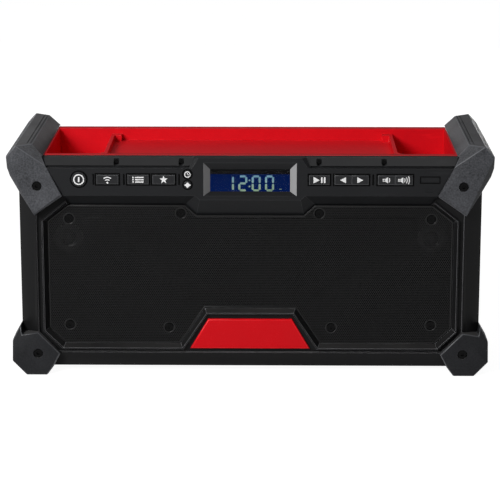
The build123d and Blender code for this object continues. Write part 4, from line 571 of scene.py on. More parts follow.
def window_glass():
    """Clear polished window in front of the display."""
    if known_material("window_glass"):
        return known_material("window_glass")
    material, tree, shader = new_material("window_glass")
    haze = noise(tree, place_on_piece(tree), 120.0, 2.0)
    tree.links.new(ranged(tree, haze, 0.0, 0.012), shader.inputs["Roughness"])
    shader.inputs["Base Color"].default_value = (0.96, 0.98, 1.0, 1.0)
    shader.inputs["Transmission Weight"].default_value = 1.0
    shader.inputs["IOR"].default_value = 1.1
    return material


# ---- Making pieces ----
def dress(names, material):
    """Gives CAD nodes, which stay as they are, a material."""
    for name in names:
        node = frame["nodes"][name]
        if not node.material_slots:
            node.data.materials.append(material)
        for slot in node.material_slots:
            slot.material = material


def finish_piece(name, bm, material, body, smooth=35.0):
    """Turns a bmesh into an object that rides on a body, with soft shading below the smooth angle."""
    mesh = bpy.data.meshes.new(name)
    bm.to_mesh(mesh)
    bm.free()
    mesh.materials.append(material)
    for polygon in mesh.polygons:
        polygon.use_smooth = True
    mesh.set_sharp_from_angle(angle=math.radians(smooth))
    piece = bpy.data.objects.new(name, mesh)
    bpy.context.scene.collection.objects.link(piece)
    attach(piece, body)
    return piece


def merged_copy(node):
    """A bmesh of a CAD node's shape whose loose triangles are joined into flat faces."""
    bm = bmesh.new()
    bm.from_mesh(frame["nodes"][node].data)
    bmesh.ops.remove_doubles(bm, verts=bm.verts, dist=MERGE)
    bmesh.ops.dissolve_limit(
        bm, angle_limit=math.radians(0.4), use_dissolve_boundaries=False, verts=bm.verts, edges=bm.edges
    )
    for face in bm.faces:
        face.material_index = 0
    return bm


def soften(bm, radius, shortest, steep=25.0, where=None, finish=-1):
    """Rounds the long sharp edges that have room for it. The rounded faces take the finish with this
    number, or their neighbours'."""
    sharp = []
    for edge in bm.edges:
        if len(edge.link_faces) != 2 or edge.calc_length() < shortest:
            continue
        if edge.calc_face_angle(0.0) < math.radians(steep):
            continue
        if any(near.calc_length() < 2 * radius for vert in edge.verts for near in vert.link_edges):
            continue
        if where is None or where((edge.verts[0].co + edge.verts[1].co) / 2):
            sharp.append(edge)
    bmesh.ops.bevel(
        bm, geom=sharp, offset=radius, offset_type="OFFSET", segments=settings().edges.steps, profile=0.5,
        affect="EDGES", clamp_overlap=True, material=finish, loop_slide=True,
    )
    return bm


def softened_piece(name, node, material, radius, shortest, steep=25.0, where=None, edge=None):
    """Stands for a CAD node with the same shape. Its long edges are rounded and may take a paler finish as a
    painted highlight."""
    bm = soften(merged_copy(node), radius, shortest, steep, where, 1 if edge else -1)
    piece = finish_piece(name, bm, material, body_of_node(node))
    if edge:
        piece.data.materials.append(edge)
    even = piece.modifiers.new("even_shading", "WEIGHTED_NORMAL")
    even.mode, even.weight, even.keep_sharp = "FACE_AREA", 100, True
    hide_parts(node)
    return piece


def body_of_node(node):
    return frame["nodes"][node]["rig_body"]


def upright(centre, turn=0.0):
    """Places a shape that was made in X and Y so that it faces forward at a point, turned clockwise."""
    return Matrix.Translation(centre) @ Matrix.Rotation(turn, 4, "Y") @ Matrix.Rotation(math.pi / 2, 4, "X")


def bar(bm, centre, size, turn=0.0):
    """A straight bar. Its size is along X, Y and Z before it is turned about Y."""
    place = Matrix.Translation(centre) @ Matrix.Rotation(turn, 4, "Y") @ Matrix.Diagonal((*size, 1.0))
    return bmesh.ops.create_cube(bm, size=1.0, matrix=place)["verts"]


def plug(bm, centre, radius, depth, sides, turn=0.0):
    """A disc, or a triangle with three sides, that faces forward."""
    return bmesh.ops.create_cone(
        bm, cap_ends=True, segments=sides, radius1=radius, radius2=radius, depth=depth,
        matrix=upright(centre, turn),
    )["verts"]


def plate(bm, centre, across, up):
    """A flat rectangle that faces forward. Returns its corners."""
    place = upright(centre) @ Matrix.Diagonal((across, up, 1, 1))
    return bmesh.ops.create_grid(bm, x_segments=1, y_segments=1, size=0.5, matrix=place)["verts"]


def ring(bm, centre, radius, width, depth, sides=32):
    """A flat ring that faces forward, between radius and radius less width."""
    rim = bmesh.ops.create_circle(bm, cap_ends=True, segments=sides, radius=radius, matrix=upright(centre))
    open_and_raise(bm, rim["verts"], width, depth)


def open_and_raise(bm, verts, width, depth):
    """Turns a flat plate or disc that faces forward into a raised frame of this width."""
    face = verts[0].link_faces[0]
    inset(bm, face, width)
    band = list({f for v in verts for f in v.link_faces if f != face})
    bmesh.ops.delete(bm, geom=[face], context="FACES_ONLY")
    pull_out(bm, band, FORWARD * depth)


def inset(bm, face, width):
    """Shrinks a face and leaves a band of this width round it."""
    bmesh.ops.inset_region(bm, faces=[face], thickness=width, use_even_offset=True, use_boundary=True)


def pull_out(bm, faces, reach):
    """Moves faces along a vector and joins them by walls to where they were."""
    made = bmesh.ops.extrude_face_region(bm, geom=faces)["geom"]
    bmesh.ops.translate(bm, verts=verts_in(made), vec=reach)


def verts_in(geom):
    return [part for part in geom if isinstance(part, bmesh.types.BMVert)]


def everything(bm):
    return bm.verts[:] + bm.edges[:] + bm.faces[:]


def doubled(bm):
    """Copies the whole shape in place and returns the copy's parts."""
    return bmesh.ops.duplicate(bm, geom=everything(bm))["geom"]


def arc(bm, centre, radius, width, depth, start, sweep, steps=10):
    """A curved bar about a centre, from one angle through a sweep, both clockwise from straight up."""
    foot = centre + Matrix.Rotation(start, 3, "Y") @ Vector((0, 0, radius))
    across = Matrix.Rotation(start, 4, "Y") @ Matrix.Rotation(math.pi / 2, 4, "Y")
    end = bmesh.ops.create_grid(
        bm, x_segments=1, y_segments=1, size=0.5,
        matrix=Matrix.Translation(foot) @ across @ Matrix.Diagonal((width, depth, 1, 1)),
    )["verts"]
    outline = list({edge for vert in end for edge in vert.link_edges})
    bmesh.ops.spin(
        bm, geom=end + outline + end[0].link_faces[:], cent=centre, axis=(0, 1, 0), angle=sweep, steps=steps,
        use_merge=False,
    )


def tidy_normals(bm):
    bmesh.ops.recalc_face_normals(bm, faces=bm.faces)
    return bm


def island_centres(node):
    """The centre of each separate solid in a CAD node."""
    bm = bmesh.new()
    bm.from_mesh(frame["nodes"][node].data)
    bmesh.ops.remove_doubles(bm, verts=bm.verts, dist=MERGE)
    left, centres = set(bm.verts), []
    while left:
        found, waiting = set(), [left.pop()]
        while waiting:
            vert = waiting.pop()
            found.add(vert)
            for edge in vert.link_edges:
                other = edge.other_vert(vert)
                if other in left:
                    left.remove(other)
                    waiting.append(other)
        low = Vector([min(v.co[i] for v in found) for i in range(3)])
        high = Vector([max(v.co[i] for v in found) for i in range(3)])
        centres.append((low + high) / 2)
    bm.free()
    return sorted(centres, key=lambda c: (round(c.x, 4), round(c.z, 4)))


# ---- Operators ----
class RADIO_OT_stage(bpy.types.Operator):
    """Makes the floor, the lamps, the even light and the camera"""

    bl_idname = "radio.stage"
    bl_label = "Stage"

    aim = (0.0, 0.0, 0.10)
    key_place, key_size = (-0.80, -1.22, 0.90), (0.6, 0.6)
    fill_place, fill_size = (1.6, -1.5, 0.75), (0.9, 1.2)
    back_place, back_size = (0.1, 1.9, 0.10), (1.4, 0.12)
    top_direction = (0.05, 0.35, 1.0)
    floor_reach = 6.0
    camera_place = (0.02034340, -1.74704721, 0.51535369)
    camera_turn, camera_tilt = math.radians(0.7), math.radians(13.7)
    sensor_width, focal_length = 36.0, 147.6

    def execute(self, context):
        look = settings().stage
        scene = context.scene
        scene.view_settings.view_transform = "Standard"
        world = bpy.data.worlds.new("studio")
        scene.world = world
        world.use_nodes = True
        tree = world.node_tree
        sky = tree.nodes["Background"]
        sky.inputs["Color"].default_value = (1.0, 1.0, 1.0, 1.0)
        sky.inputs["Strength"].default_value = look.sky
        self.make_floor(look)
        self.make_lamp("key_lamp", self.key_place, self.key_size, look.key_power)
        self.make_distant_lamp("top_lamp", self.top_direction, look.top_strength, look.softness)
        self.make_lamp("fill_lamp", self.fill_place, self.fill_size, look.fill_power)
        self.make_lamp("back_lamp", self.back_place, self.back_size, look.back_power)
        self.make_camera(scene)
        return {"FINISHED"}

    def make_floor(self, look):
        bm = bmesh.new()
        bmesh.ops.create_grid(bm, x_segments=1, y_segments=1, size=self.floor_reach)
        mesh = bpy.data.meshes.new("floor")
        bm.to_mesh(mesh)
        bm.free()
        floor = bpy.data.objects.new("floor", mesh)
        bpy.context.scene.collection.objects.link(floor)
        material, tree, shader = new_material("studio_floor")
        shader.inputs["Base Color"].default_value = (*look.floor_colour, 1.0)
        shader.inputs["Roughness"].default_value = 0.9
        shader.inputs["Specular IOR Level"].default_value = 0.1
        path = tree.nodes.new("ShaderNodeLightPath")
        glossy, through = path.outputs["Is Glossy Ray"], path.outputs["Is Transmission Ray"]
        indirect = math_node(tree, "MAXIMUM", glossy, through)
        seen = math_node(tree, "MAXIMUM", path.outputs["Is Camera Ray"], indirect)
        shader.inputs["Emission Color"].default_value = (1.0, 1.0, 1.0, 1.0)
        tree.links.new(math_node(tree, "MULTIPLY", seen, look.floor_glow), shader.inputs["Emission Strength"])
        mesh.materials.append(material)

    def make_lamp(self, name, place, size, power):
        lamp = bpy.data.lights.new(name, "AREA")
        lamp.shape = "RECTANGLE"
        lamp.size, lamp.size_y = size
        lamp.energy = power
        self.hold(name, lamp, place, Vector(self.aim) - Vector(place))

    def make_distant_lamp(self, name, towards, strength, softness):
        lamp = bpy.data.lights.new(name, "SUN")
        lamp.energy = strength
        lamp.angle = softness
        self.hold(name, lamp, towards, -Vector(towards))

    def hold(self, name, lamp, place, direction):
        holder = bpy.data.objects.new(name, lamp)
        holder.location = place
        holder.rotation_euler = direction.to_track_quat("-Z", "Y").to_euler()
        bpy.context.scene.collection.objects.link(holder)

    def make_camera(self, scene):
        lens = bpy.data.cameras.new("camera")
        lens.sensor_width = self.sensor_width
        lens.lens = self.focal_length
        camera = bpy.data.objects.new("camera", lens)
        camera.location = self.camera_place
        turn, tilt = self.camera_turn, self.camera_tilt
        forward = Vector((-math.sin(turn) * math.cos(tilt), math.cos(turn) * math.cos(tilt), -math.sin(tilt)))
        camera.rotation_euler = forward.to_track_quat("-Z", "Y").to_euler()
        scene.collection.objects.link(camera)
        scene.camera = camera


class RADIO_OT_housings(bpy.types.Operator):
    """Dresses the two housings and the seal between them"""

    bl_idname = "radio.housings"
    bl_label = "Housings"

    outer_band = 12 * MM

    def execute(self, context):
        radius = settings().edges.housing_edge
        plastic = housing_plastic()
        # The rounded outer edges and bead crests are painted far paler as a highlight.
        edge = edge_painted_highlight("housing", settings().finish.housing_colour, 18.0)
        front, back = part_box("front_housing")[0].y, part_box("rear_housing")[1].y
        softened_piece(
            "front_shell", "front_housing", plastic, radius, shortest=4 * MM, steep=20.0,
            where=lambda place: place.y < front + self.outer_band, edge=edge,
        )
        softened_piece(
            "rear_shell", "rear_housing", plastic, radius, shortest=6 * MM, steep=20.0,
            where=lambda place: place.y > back - self.outer_band, edge=edge,
        )
        dress(["housing_seal"], gasket_foam())
        return {"FINISHED"}


class RADIO_OT_guards(bpy.types.Operator):
    """Makes the four rubber guards with rounded edges painted paler as a highlight, the lower two in rubber
    darkened as painted shade
    """

    bl_idname = "radio.guards"
    bl_label = "Guards"

    def execute(self, context):
        radius, base = settings().edges.guard_edge, settings().finish.guard_colour
        for side in ("left", "right"):
            # Each level's rounded edges take a paler copy of the rubber as a painted highlight.
            for level, highlight_lift in (("upper", 1.5), ("lower", 0.8)):
                softened_piece(
                    f"{level}_bumper_{side}", f"{level}_guard_{side}", guard_rubber_painted_light(level),
                    radius, shortest=3 * MM, steep=12.0, edge=edge_painted_highlight(f"{level}_guard", base, highlight_lift),
                )
        return {"FINISHED"}


class RADIO_OT_tray(bpy.types.Operator):
    """Makes the red tray with rounded edges"""

    bl_idname = "radio.tray"
    bl_label = "Tray"

    def execute(self, context):
        # The rounded edges take a paler red as a painted highlight.
        softened_piece(
            "shelf_tray", "top_tray", tray_plastic(), settings().edges.tray_edge,
            shortest=2 * MM, edge=edge_painted_highlight("tray", settings().finish.tray_colour, 1.1),
        )
        return {"FINISHED"}


class RADIO_OT_badge(bpy.types.Operator):
    """Makes the bare red plate below the grille"""

    bl_idname = "radio.badge"
    bl_label = "Badge"

    def execute(self, context):
        # The rounded edges take a paler red as a painted highlight.
        softened_piece(
            "badge_face", "badge_plate", badge_red(), radius=0.25 * MM, shortest=3 * MM,
            edge=edge_painted_highlight("badge", settings().finish.badge_colour, 1.2),
        )
        return {"FINISHED"}


class RADIO_OT_grille(bpy.types.Operator):
    """Perforates the grille: a rolled border round sheets of real holes, pressed to its creases"""

    bl_idname = "radio.grille"
    bl_label = "Grille"

    join, cut_gap, sliver = 0.004 * MM, 0.0005 * MM, 0.01 * MM
    outer_share = 0.48
    pan_margin = 2 * MM
    rim_cut, rim_edge, rim_shortest = 0.4 * MM, 0.3 * MM, 2 * MM
    cloth_cell, cloth_gap, cloth_depth = 2 * MM, 0.05 * MM, 0.12 * MM
    tweeter_gap = 1 * MM
    seat_clearing, seat_reach = 4.5 * MM, 4.9 * MM
    # Radius of each ring of a screw's seat, and how far it lies behind the sheet, in mm.
    seat_rings = ((5.0, 0.6), (4.9, -0.12), (4.5, -0.22), (4.0, -0.05), (3.65, 1.3), (1.2, 1.35))

    def execute(self, context):
        border, outline = self.make_border()
        front = BVHTree.FromObject(frame["nodes"]["speaker_grille"], context.evaluated_depsgraph_get())
        lattice = self.make_lattice()
        screws = [Vector((c.x, 0, c.z)) for c in island_centres("grille_screws")]
        notches = sorted({round(abs(x), 5) for x, z, notch in outline if notch})
        reach = max(x for x, z, notch in outline)
        middle = notches[-1] + (reach - notches[-1]) * self.outer_share
        cuts = [0.0, *notches, middle, reach]
        spans = list(zip(cuts, cuts[1:]))
        for label, ranges in (("centre", spans[:-2]), ("inner", spans[-2:-1]), ("outer", spans[-1:])):
            half = bmesh.new()
            for low, high in ranges:
                self.add_span(half, lattice, outline, low, high)
            if label == "centre":
                self.mirror(half, doubled(half))
                self.finish_sheet("grille_sheet_centre", half, screws, front)
                continue
            left = half.copy()
            self.mirror(left, everything(left))
            self.finish_sheet(f"grille_sheet_{label}_right", half, screws, front)
            self.finish_sheet(f"grille_sheet_{label}_left", left, screws, front)
        lattice.free()
        self.make_cloth(outline, [0.0, *notches, reach], front)
        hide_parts("speaker_grille")
        self.make_dimples(screws, front)
        return {"FINISHED"}

    def finish_sheet(self, name, sheet, screws, front):
        """Turns a flat field of cells into a pressed sheet of metal."""
        bmesh.ops.remove_doubles(sheet, verts=sheet.verts, dist=self.join)
        self.clear_screws(sheet, screws)
        self.press(sheet, front)
        pull_out(sheet, sheet.faces[:], (0, settings().grille.sheet, 0))
        finish_piece(name, tidy_normals(sheet), grille_coat(), "radio", smooth=25.0)

    def make_border(self):
        """The rolled rim of the pan. Returns it with the corners of the perforated field: X, Z and
        whether the corner turns inward."""
        pan = merged_copy("speaker_grille")
        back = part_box("speaker_grille")[1].y
        cut = bmesh.ops.bisect_plane(
            pan, geom=everything(pan), plane_co=(0, back - self.rim_cut, 0), plane_no=(0, 1, 0)
        )["geom_cut"]
        loop = self.outer_loop([part for part in cut if isinstance(part, bmesh.types.BMEdge)])
        flat_y = self.pan_level(pan)
        points = [v.co.copy() for v in loop]
        pan.free()
        bm = bmesh.new()
        corners = [bm.verts.new((p.x, flat_y, p.z)) for p in points]
        face = bm.faces.new(corners)
        bm.normal_update()
        if face.normal.y > 0:
            face.normal_flip()
        inset(bm, face, settings().grille.border)
        field = [(corner.vert.co.x, corner.vert.co.z) for corner in face.loops]
        bmesh.ops.delete(bm, geom=[face], context="FACES_ONLY")
        pull_out(bm, bm.faces[:], (0, back - flat_y, 0))
        tidy_normals(bm)
        soften(bm, self.rim_edge, self.rim_shortest)
        # The rim takes the darkened coat as painted shade.
        border = finish_piece("grille_rim", bm, seat_coat_painted_shade(), "radio")
        outline = []
        count = len(field)
        for i, (x, z) in enumerate(field):
            (px, pz), (nx, nz) = field[i - 1], field[(i + 1) % count]
            turn = (x - px) * (nz - z) - (z - pz) * (nx - x)
            outline.append((x, z, turn))
        area = sum(a[0] * b[1] - b[0] * a[1] for a, b in zip(field, field[1:] + field[:1]))
        return border, [(x, z, turn * area < 0) for x, z, turn in outline]

    def outer_loop(self, edges):
        """The corners, in order, of the loop of cut edges that reaches furthest out."""
        start = max((v for e in edges for v in e.verts), key=lambda v: v.co.x)
        mine = set(edges)
        order, vert, came = [start], start, None
        while True:
            step = next((e for e in vert.link_edges if e in mine and e is not came), None)
            vert, came = step.other_vert(vert), step
            if vert is start:
                break
            order.append(vert)
        kept = []
        for i, vert in enumerate(order):
            before, after = order[i - 1].co, order[(i + 1) % len(order)].co
            if (vert.co - before).angle(after - vert.co, 0.0) > math.radians(2):
                kept.append(vert)
        return kept

    def pan_level(self, pan):
        """Y of the pan's flat margin, in front of which only the raised centre stands."""
        reach = max(v.co.x for v in pan.verts)
        return min(v.co.y for v in pan.verts if v.co.x > reach - self.pan_margin)

    def make_lattice(self):
        """A field of hexagonal cells with a hole in each, to the right of the centre."""
        look = settings().grille
        low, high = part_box("speaker_grille")
        pitch = look.pitch
        row = pitch * math.sqrt(3) / 2
        bm = bmesh.new()
        cell = bmesh.ops.create_circle(
            bm, cap_ends=True, segments=6, radius=pitch / math.sqrt(3), matrix=upright((0, 0, low.z))
        )["verts"]
        face = cell[0].link_faces[0]
        inset(bm, face, look.web / 2)
        bmesh.ops.delete(bm, geom=[face], context="FACES_ONLY")
        self.repeat(bm, (pitch / 2, 0, row), 1.5 * pitch)
        self.repeat(bm, (pitch, 0, 0), high.x + 2 * pitch)
        self.repeat(bm, (0, 0, 2 * row), high.z - low.z + 2 * row)
        return bm

    def repeat(self, bm, step, reach):
        """Doubles the cells along a step until they reach far enough."""
        step = Vector(step)
        span = step.length
        while span <= reach:
            bmesh.ops.translate(bm, verts=verts_in(doubled(bm)), vec=step)
            step, span = step * 2, span * 2

    def trim(self, bm, point, outward):
        """Cuts away what lies past a plane."""
        bmesh.ops.bisect_plane(
            bm, geom=everything(bm), dist=self.cut_gap, plane_co=point, plane_no=outward, clear_outer=True
        )

    def add_span(self, target, lattice, outline, low, high):
        """Adds the cells between two distances from the centre, cut to the outline's edges there."""
        bm = lattice.copy()
        self.trim(bm, (low, 0, 0), (-1, 0, 0))
        self.trim(bm, (high, 0, 0), (1, 0, 0))
        middle_z = sum(z for x, z, notch in outline) / len(outline)
        for (ax, az, _), (bx, bz, _) in zip(outline, outline[1:] + outline[:1]):
            if max(ax, bx) <= low + self.sliver or min(ax, bx) >= high - self.sliver:
                continue
            outward = Vector((bz - az, 0, ax - bx)).normalized()
            inside = Vector(((low + high) / 2 - ax, 0, middle_z - az))
            if outward.dot(inside) > 0:
                outward.negate()
            self.trim(bm, (ax, 0, az), outward)
        mesh = bpy.data.meshes.new("span")
        bm.to_mesh(mesh)
        bm.free()
        target.from_mesh(mesh)
        bpy.data.meshes.remove(mesh)

    def mirror(self, bm, geom):
        """Moves parts from the right of the centre to the left."""
        bmesh.ops.scale(bm, vec=(-1, 1, 1), verts=verts_in(geom))
        bmesh.ops.reverse_faces(bm, faces=[part for part in geom if isinstance(part, bmesh.types.BMFace)])

    def clear_screws(self, bm, screws):
        """Leaves a round clearing in the cells for the seat of each screw."""
        near = self.seat_clearing
        gone = [face for face in bm.faces if any(self.within(face, screw, near) for screw in screws)]
        bmesh.ops.delete(bm, geom=gone, context="FACES")

    def within(self, face, point, radius):
        """Whether a face lies nearer than the radius to a point, seen from the front."""
        centre = face.calc_center_median()
        return math.hypot(centre.x - point.x, centre.z - point.z) < radius

    def press(self, bm, front):
        """Lays the flat field on the front of the pan."""
        for vert in bm.verts:
            vert.co.y = self.level_at(front, vert.co.x, vert.co.z)

    def level_at(self, front, x, z):
        """Y of the pan's front at this place."""
        hit = front.ray_cast(Vector((x, -1.0, z)), Vector((0, 1, 0)))[0]
        return hit.y if hit else 0.0

    def make_cloth(self, outline, cuts, front):
        """A near-black sheet behind the holes, open in front of the tweeters, that paints the shade inside
        the housing.
        """
        low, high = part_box("speaker_grille")
        cell = self.cloth_cell
        across, up = int(high.x / cell) + 1, int((high.z - low.z) / cell) + 1
        place = upright((across * cell / 2, 0, low.z + up * cell / 2))
        grid = bmesh.new()
        bmesh.ops.create_grid(
            grid, x_segments=across, y_segments=up, size=0.5,
            matrix=place @ Matrix.Diagonal((across * cell, up * cell, 1, 1)),
        )
        cloth = bmesh.new()
        for start, end in zip(cuts, cuts[1:]):
            self.add_span(cloth, grid, outline, start, end)
        grid.free()
        corner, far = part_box("tweeter_frame_right")
        centre, radius = (corner + far) / 2, (far.x - corner.x) / 2 + self.tweeter_gap
        opening = [face for face in cloth.faces if self.within(face, centre, radius)]
        bmesh.ops.delete(cloth, geom=opening, context="FACES")
        self.mirror(cloth, doubled(cloth))
        bmesh.ops.remove_doubles(cloth, verts=cloth.verts, dist=self.join)
        self.press(cloth, front)
        bmesh.ops.translate(cloth, verts=cloth.verts, vec=(0, settings().grille.sheet + self.cloth_gap, 0))
        pull_out(cloth, cloth.faces[:], (0, self.cloth_depth, 0))
        tidy_normals(cloth)
        finish_piece("painted_shade_cloth", cloth, painted_shade_cloth(), "radio", smooth=40.0)

    def make_dimples(self, screws, front):
        """The pressed seat of each screw: a rolled ring and a shallow floor behind the head."""
        bm = bmesh.new()
        for screw in screws:
            level = self.level_at(front, screw.x + self.seat_reach, screw.z)
            rings = []
            for radius, depth in self.seat_rings:
                place = upright((screw.x, level + depth * MM, screw.z))
                circle = bmesh.ops.create_circle(bm, segments=32, radius=radius * MM, matrix=place)["verts"]
                rings.append(list({edge for vert in circle for edge in vert.link_edges}))
            for outer, inner in zip(rings, rings[1:]):
                bmesh.ops.bridge_loops(bm, edges=outer + inner)
        tidy_normals(bm)
        # The seats take the darkened coat as painted shade.
        finish_piece("grille_screw_seats", bm, seat_coat_painted_shade(), "radio", smooth=60.0)


class RADIO_OT_fascia(bpy.types.Operator):
    """Makes the control fascia with rounded edges, and the trims beside its window"""

    bl_idname = "radio.fascia"
    bl_label = "Fascia"

    face_band = 9 * MM
    frame_reach = 4 * MM
    trim_depth = 0.12 * MM

    def execute(self, context):
        front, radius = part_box("control_fascia")[0].y, settings().edges.fascia_edge
        # The rounded front edges take a paler plastic as a painted highlight.
        softened_piece(
            "control_panel", "control_fascia", fascia_plastic(), radius, shortest=1.5 * MM,
            steep=20.0, where=lambda place: place.y < front + self.face_band,
            edge=edge_painted_highlight("fascia", settings().finish.fascia_colour, 2.4),
        )
        self.make_trims()
        return {"FINISHED"}

    def make_trims(self):
        """Thin satin trims on the two side facets of the window's frame."""
        bm = merged_copy("control_fascia")
        low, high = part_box("display_lens")
        facets = []
        for face in bm.faces:
            centre, slanting = face.calc_center_median(), abs(face.normal.x) > 0.5 and face.normal.y < -0.5
            if slanting and abs(centre.x) < high.x + self.frame_reach and low.z < centre.z < high.z:
                facets.append(face)
        bmesh.ops.delete(bm, geom=[face for face in bm.faces if face not in facets], context="FACES")
        # The left trim is the same satin darkened to 0.62 as painted shade; the right one keeps the full
        # tone.
        for side, name, tone in ((-1, "left", 0.62), (1, "right", 1.0)):
            trim = bm.copy()
            other = [f for f in trim.faces if f.calc_center_median().x * side < 0]
            bmesh.ops.delete(trim, geom=other, context="FACES")
            pull_out(trim, trim.faces[:], trim.faces[:][0].normal * self.trim_depth)
            tidy_normals(trim)
            finish_piece(
                f"window_trim_{name}", trim, satin_trim_lit_and_shaded(tone), "radio", smooth=20.0
            )
        bm.free()


class RADIO_OT_keys(bpy.types.Operator):
    """Makes the keys, the white symbol on each, and the black lips and bars round them, which paint the shade
    of the gaps and grooves
    """

    bl_idname = "radio.keys"
    bl_label = "Keys"

    push_keys = ("power", "wireless", "mode", "preset", "play", "clock", "select")
    round_keys = ("power", "clock", "select")
    rockers = ("seek", "volume")
    flange = 0.7 * MM
    key_height = 8.3 * MM
    lip_setback, lip_gap, lip_width, lip_depth = 1.2 * MM, 0.4 * MM, 0.75 * MM, 0.12 * MM
    key_shortest, rocker_shortest = 0.2 * MM, 2.0 * MM
    label_x, label_across, label_up = 149.5 * MM, 17.0 * MM, 6.2 * MM
    bars = (-130.2 * MM, -104.9 * MM, -58.9 * MM, 102.3 * MM)
    bar_across, bar_up = 1.3 * MM, 9.1 * MM
    ink_sunk = 0.03 * MM

    def execute(self, context):
        radius = settings().edges.key_edge
        # The rounded key edges take a paler rubber as a painted highlight.
        edge = edge_painted_highlight("key", KEY_COLOUR, 2.0)
        for name in self.push_keys:
            rounding = radius / 2 if name in ("clock", "select") else radius
            self.make_key(name, f"{name}_key", rounding, self.key_shortest, edge)
        for name in self.rockers:
            self.make_key(name, f"{name}_rocker", radius, self.rocker_shortest, edge)
        self.make_shade_lips()
        for name in self.push_keys:
            self.ink(f"{name}_symbol", f"{name}_key", getattr(self, name))
        for name in self.rockers:
            self.ink(f"{name}_symbols", f"{name}_rocker", getattr(self, name))
        return {"FINISHED"}

    def make_key(self, name, node, radius, shortest, edge):
        softened_piece(
            f"{name}_button", node, key_rubber(), radius, shortest, steep=30.0, edge=edge
        )

    def make_shade_lips(self):
        """A thin black lip round each key and the label seat, and the bars between the groups of keys, all
        painted shade of the gaps and grooves.
        """
        bm = bmesh.new()
        for name in self.push_keys:
            if name in self.round_keys:
                centre, size = self.seat_of(f"{name}_key")
                radius = size.z / 2 - self.flange + self.lip_gap + self.lip_width
                ring(bm, centre, radius, self.lip_width, self.lip_depth, 48)
            else:
                self.make_lip(bm, f"{name}_key", self.flange)
        for name in self.rockers:
            self.make_lip(bm, f"{name}_rocker", 0.0)
        row = self.seat_of("wireless_key")[0]
        seat = plate(bm, (self.label_x, row.y, row.z), self.label_across, self.label_up)
        open_and_raise(bm, seat, self.lip_width, self.lip_depth)
        for x in self.bars:
            bar(bm, Vector((x, row.y, row.z)), (self.bar_across, 2 * self.lip_depth, self.bar_up))
        finish_piece("key_wells", tidy_normals(bm), painted_key_shade(), "radio", smooth=30.0)

    def seat_of(self, node):
        """The point behind the middle of a key's face where its lip lies, and the key's size."""
        low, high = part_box(node)
        return Vector(((low.x + high.x) / 2, low.y + self.lip_setback, (low.z + high.z) / 2)), high - low

    def make_lip(self, bm, node, flange):
        """The black lip, painted shade of the gap, round a long key whose hidden flange is this wide."""
        centre, size = self.seat_of(node)
        margin = self.lip_gap + self.lip_width
        verts = plate(bm, centre, size.x - 2 * flange + 2 * margin, self.key_height + 2 * margin)
        open_and_raise(bm, verts, self.lip_width, self.lip_depth)

    def ink(self, name, node, symbol):
        """Draws a symbol on the front of a key, sunk a little so that its back is hidden."""
        low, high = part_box(node)
        relief = settings().symbols.relief
        front = low.y - relief / 2 + self.ink_sunk
        centre = Vector(((low.x + high.x) / 2, front, (low.z + high.z) / 2))
        bm = bmesh.new()
        symbol(bm, centre, relief, settings().symbols.line, (high.x - low.x) / 4)
        finish_piece(name, tidy_normals(bm), symbol_ink(), body_of_node(node), smooth=30.0)

    def power(self, bm, centre, relief, line, quarter):
        ring(bm, centre + Vector((0, relief / 2, 0)), 4.55 * MM, 1.0 * MM, relief, 48)
        bar(bm, centre, (1.3 * MM, relief, 4.1 * MM))

    def wireless(self, bm, centre, relief, line, quarter):
        foot = centre + Vector((0, 0, -2.6 * MM))
        plug(bm, foot, 0.85 * MM, relief, 20)
        for radius in (2.5 * MM, 4.6 * MM):
            arc(bm, foot, radius, line * 1.15, relief, math.radians(-42), math.radians(84))

    def star(self, bm, centre, relief, points, radius, waist, height=1.0):
        """A star, pulled out of a disc with twice as many corners."""
        step = 2 * math.pi / points
        for vert in plug(bm, centre, radius, relief, points * 2):
            across, up = vert.co.x - centre.x, vert.co.z - centre.z
            if abs(math.atan2(across, up) % step - step / 2) < step / 8:
                across, up = across * waist, up * waist
            vert.co.x, vert.co.z = centre.x + across, centre.z + up * height

    def triangle(self, bm, centre, length, height, relief, side):
        """A triangle that points to one side, centred on its own length."""
        radius = length / 1.5
        middle = centre - Vector((side * radius / 4, 0, 0))
        for vert in plug(bm, middle, radius, relief, 3, math.radians(90 * side)):
            vert.co.z = centre.z + (vert.co.z - centre.z) * height / (radius * math.sqrt(3))

    def mode(self, bm, centre, relief, line, quarter):
        for up in (-1.95 * MM, 0.0, 1.95 * MM):
            bar(bm, centre + Vector((1.0 * MM, 0, up)), (7.2 * MM, relief, 1.0 * MM))
            plug(bm, centre + Vector((-4.2 * MM, 0, up)), 0.7 * MM, relief, 12)

    def preset(self, bm, centre, relief, line, quarter):
        self.star(bm, centre, relief, 5, 3.5 * MM, 0.42)

    def play(self, bm, centre, relief, line, quarter):
        self.triangle(bm, centre + Vector((-2.3 * MM, 0, 0)), 5.2 * MM, 5.3 * MM, relief, 1)
        for x in (1.95, 4.3):
            bar(bm, centre + Vector((x * MM, 0, 0)), (1.35 * MM, relief, 5.0 * MM))

    def seek(self, bm, centre, relief, line, quarter):
        for side in (-1, 1):
            self.triangle(bm, centre + Vector((side * quarter, 0, 0)), 5.0 * MM, 5.1 * MM, relief, side)

    def speaker(self, bm, left, relief):
        bar(bm, left + Vector((0.95 * MM, 0, 0)), (1.9 * MM, relief, 2.3 * MM))
        self.triangle(bm, left + Vector((2.35 * MM, 0, 0)), 3.9 * MM, 5.2 * MM, relief, -1)

    def volume(self, bm, centre, relief, line, quarter):
        wave_step = 1.8 * MM
        for side, waves in ((-1, 1), (1, 3)):
            wide = 4.5 * MM + wave_step * waves
            left = centre + Vector((side * quarter - wide / 2, 0, 0))
            self.speaker(bm, left, relief)
            for i in range(waves):
                mouth, radius = left + Vector((2.2 * MM, 0, 0)), 3.5 * MM + wave_step * i
                arc(bm, mouth, radius, line, relief, math.radians(62), math.radians(56), 8)

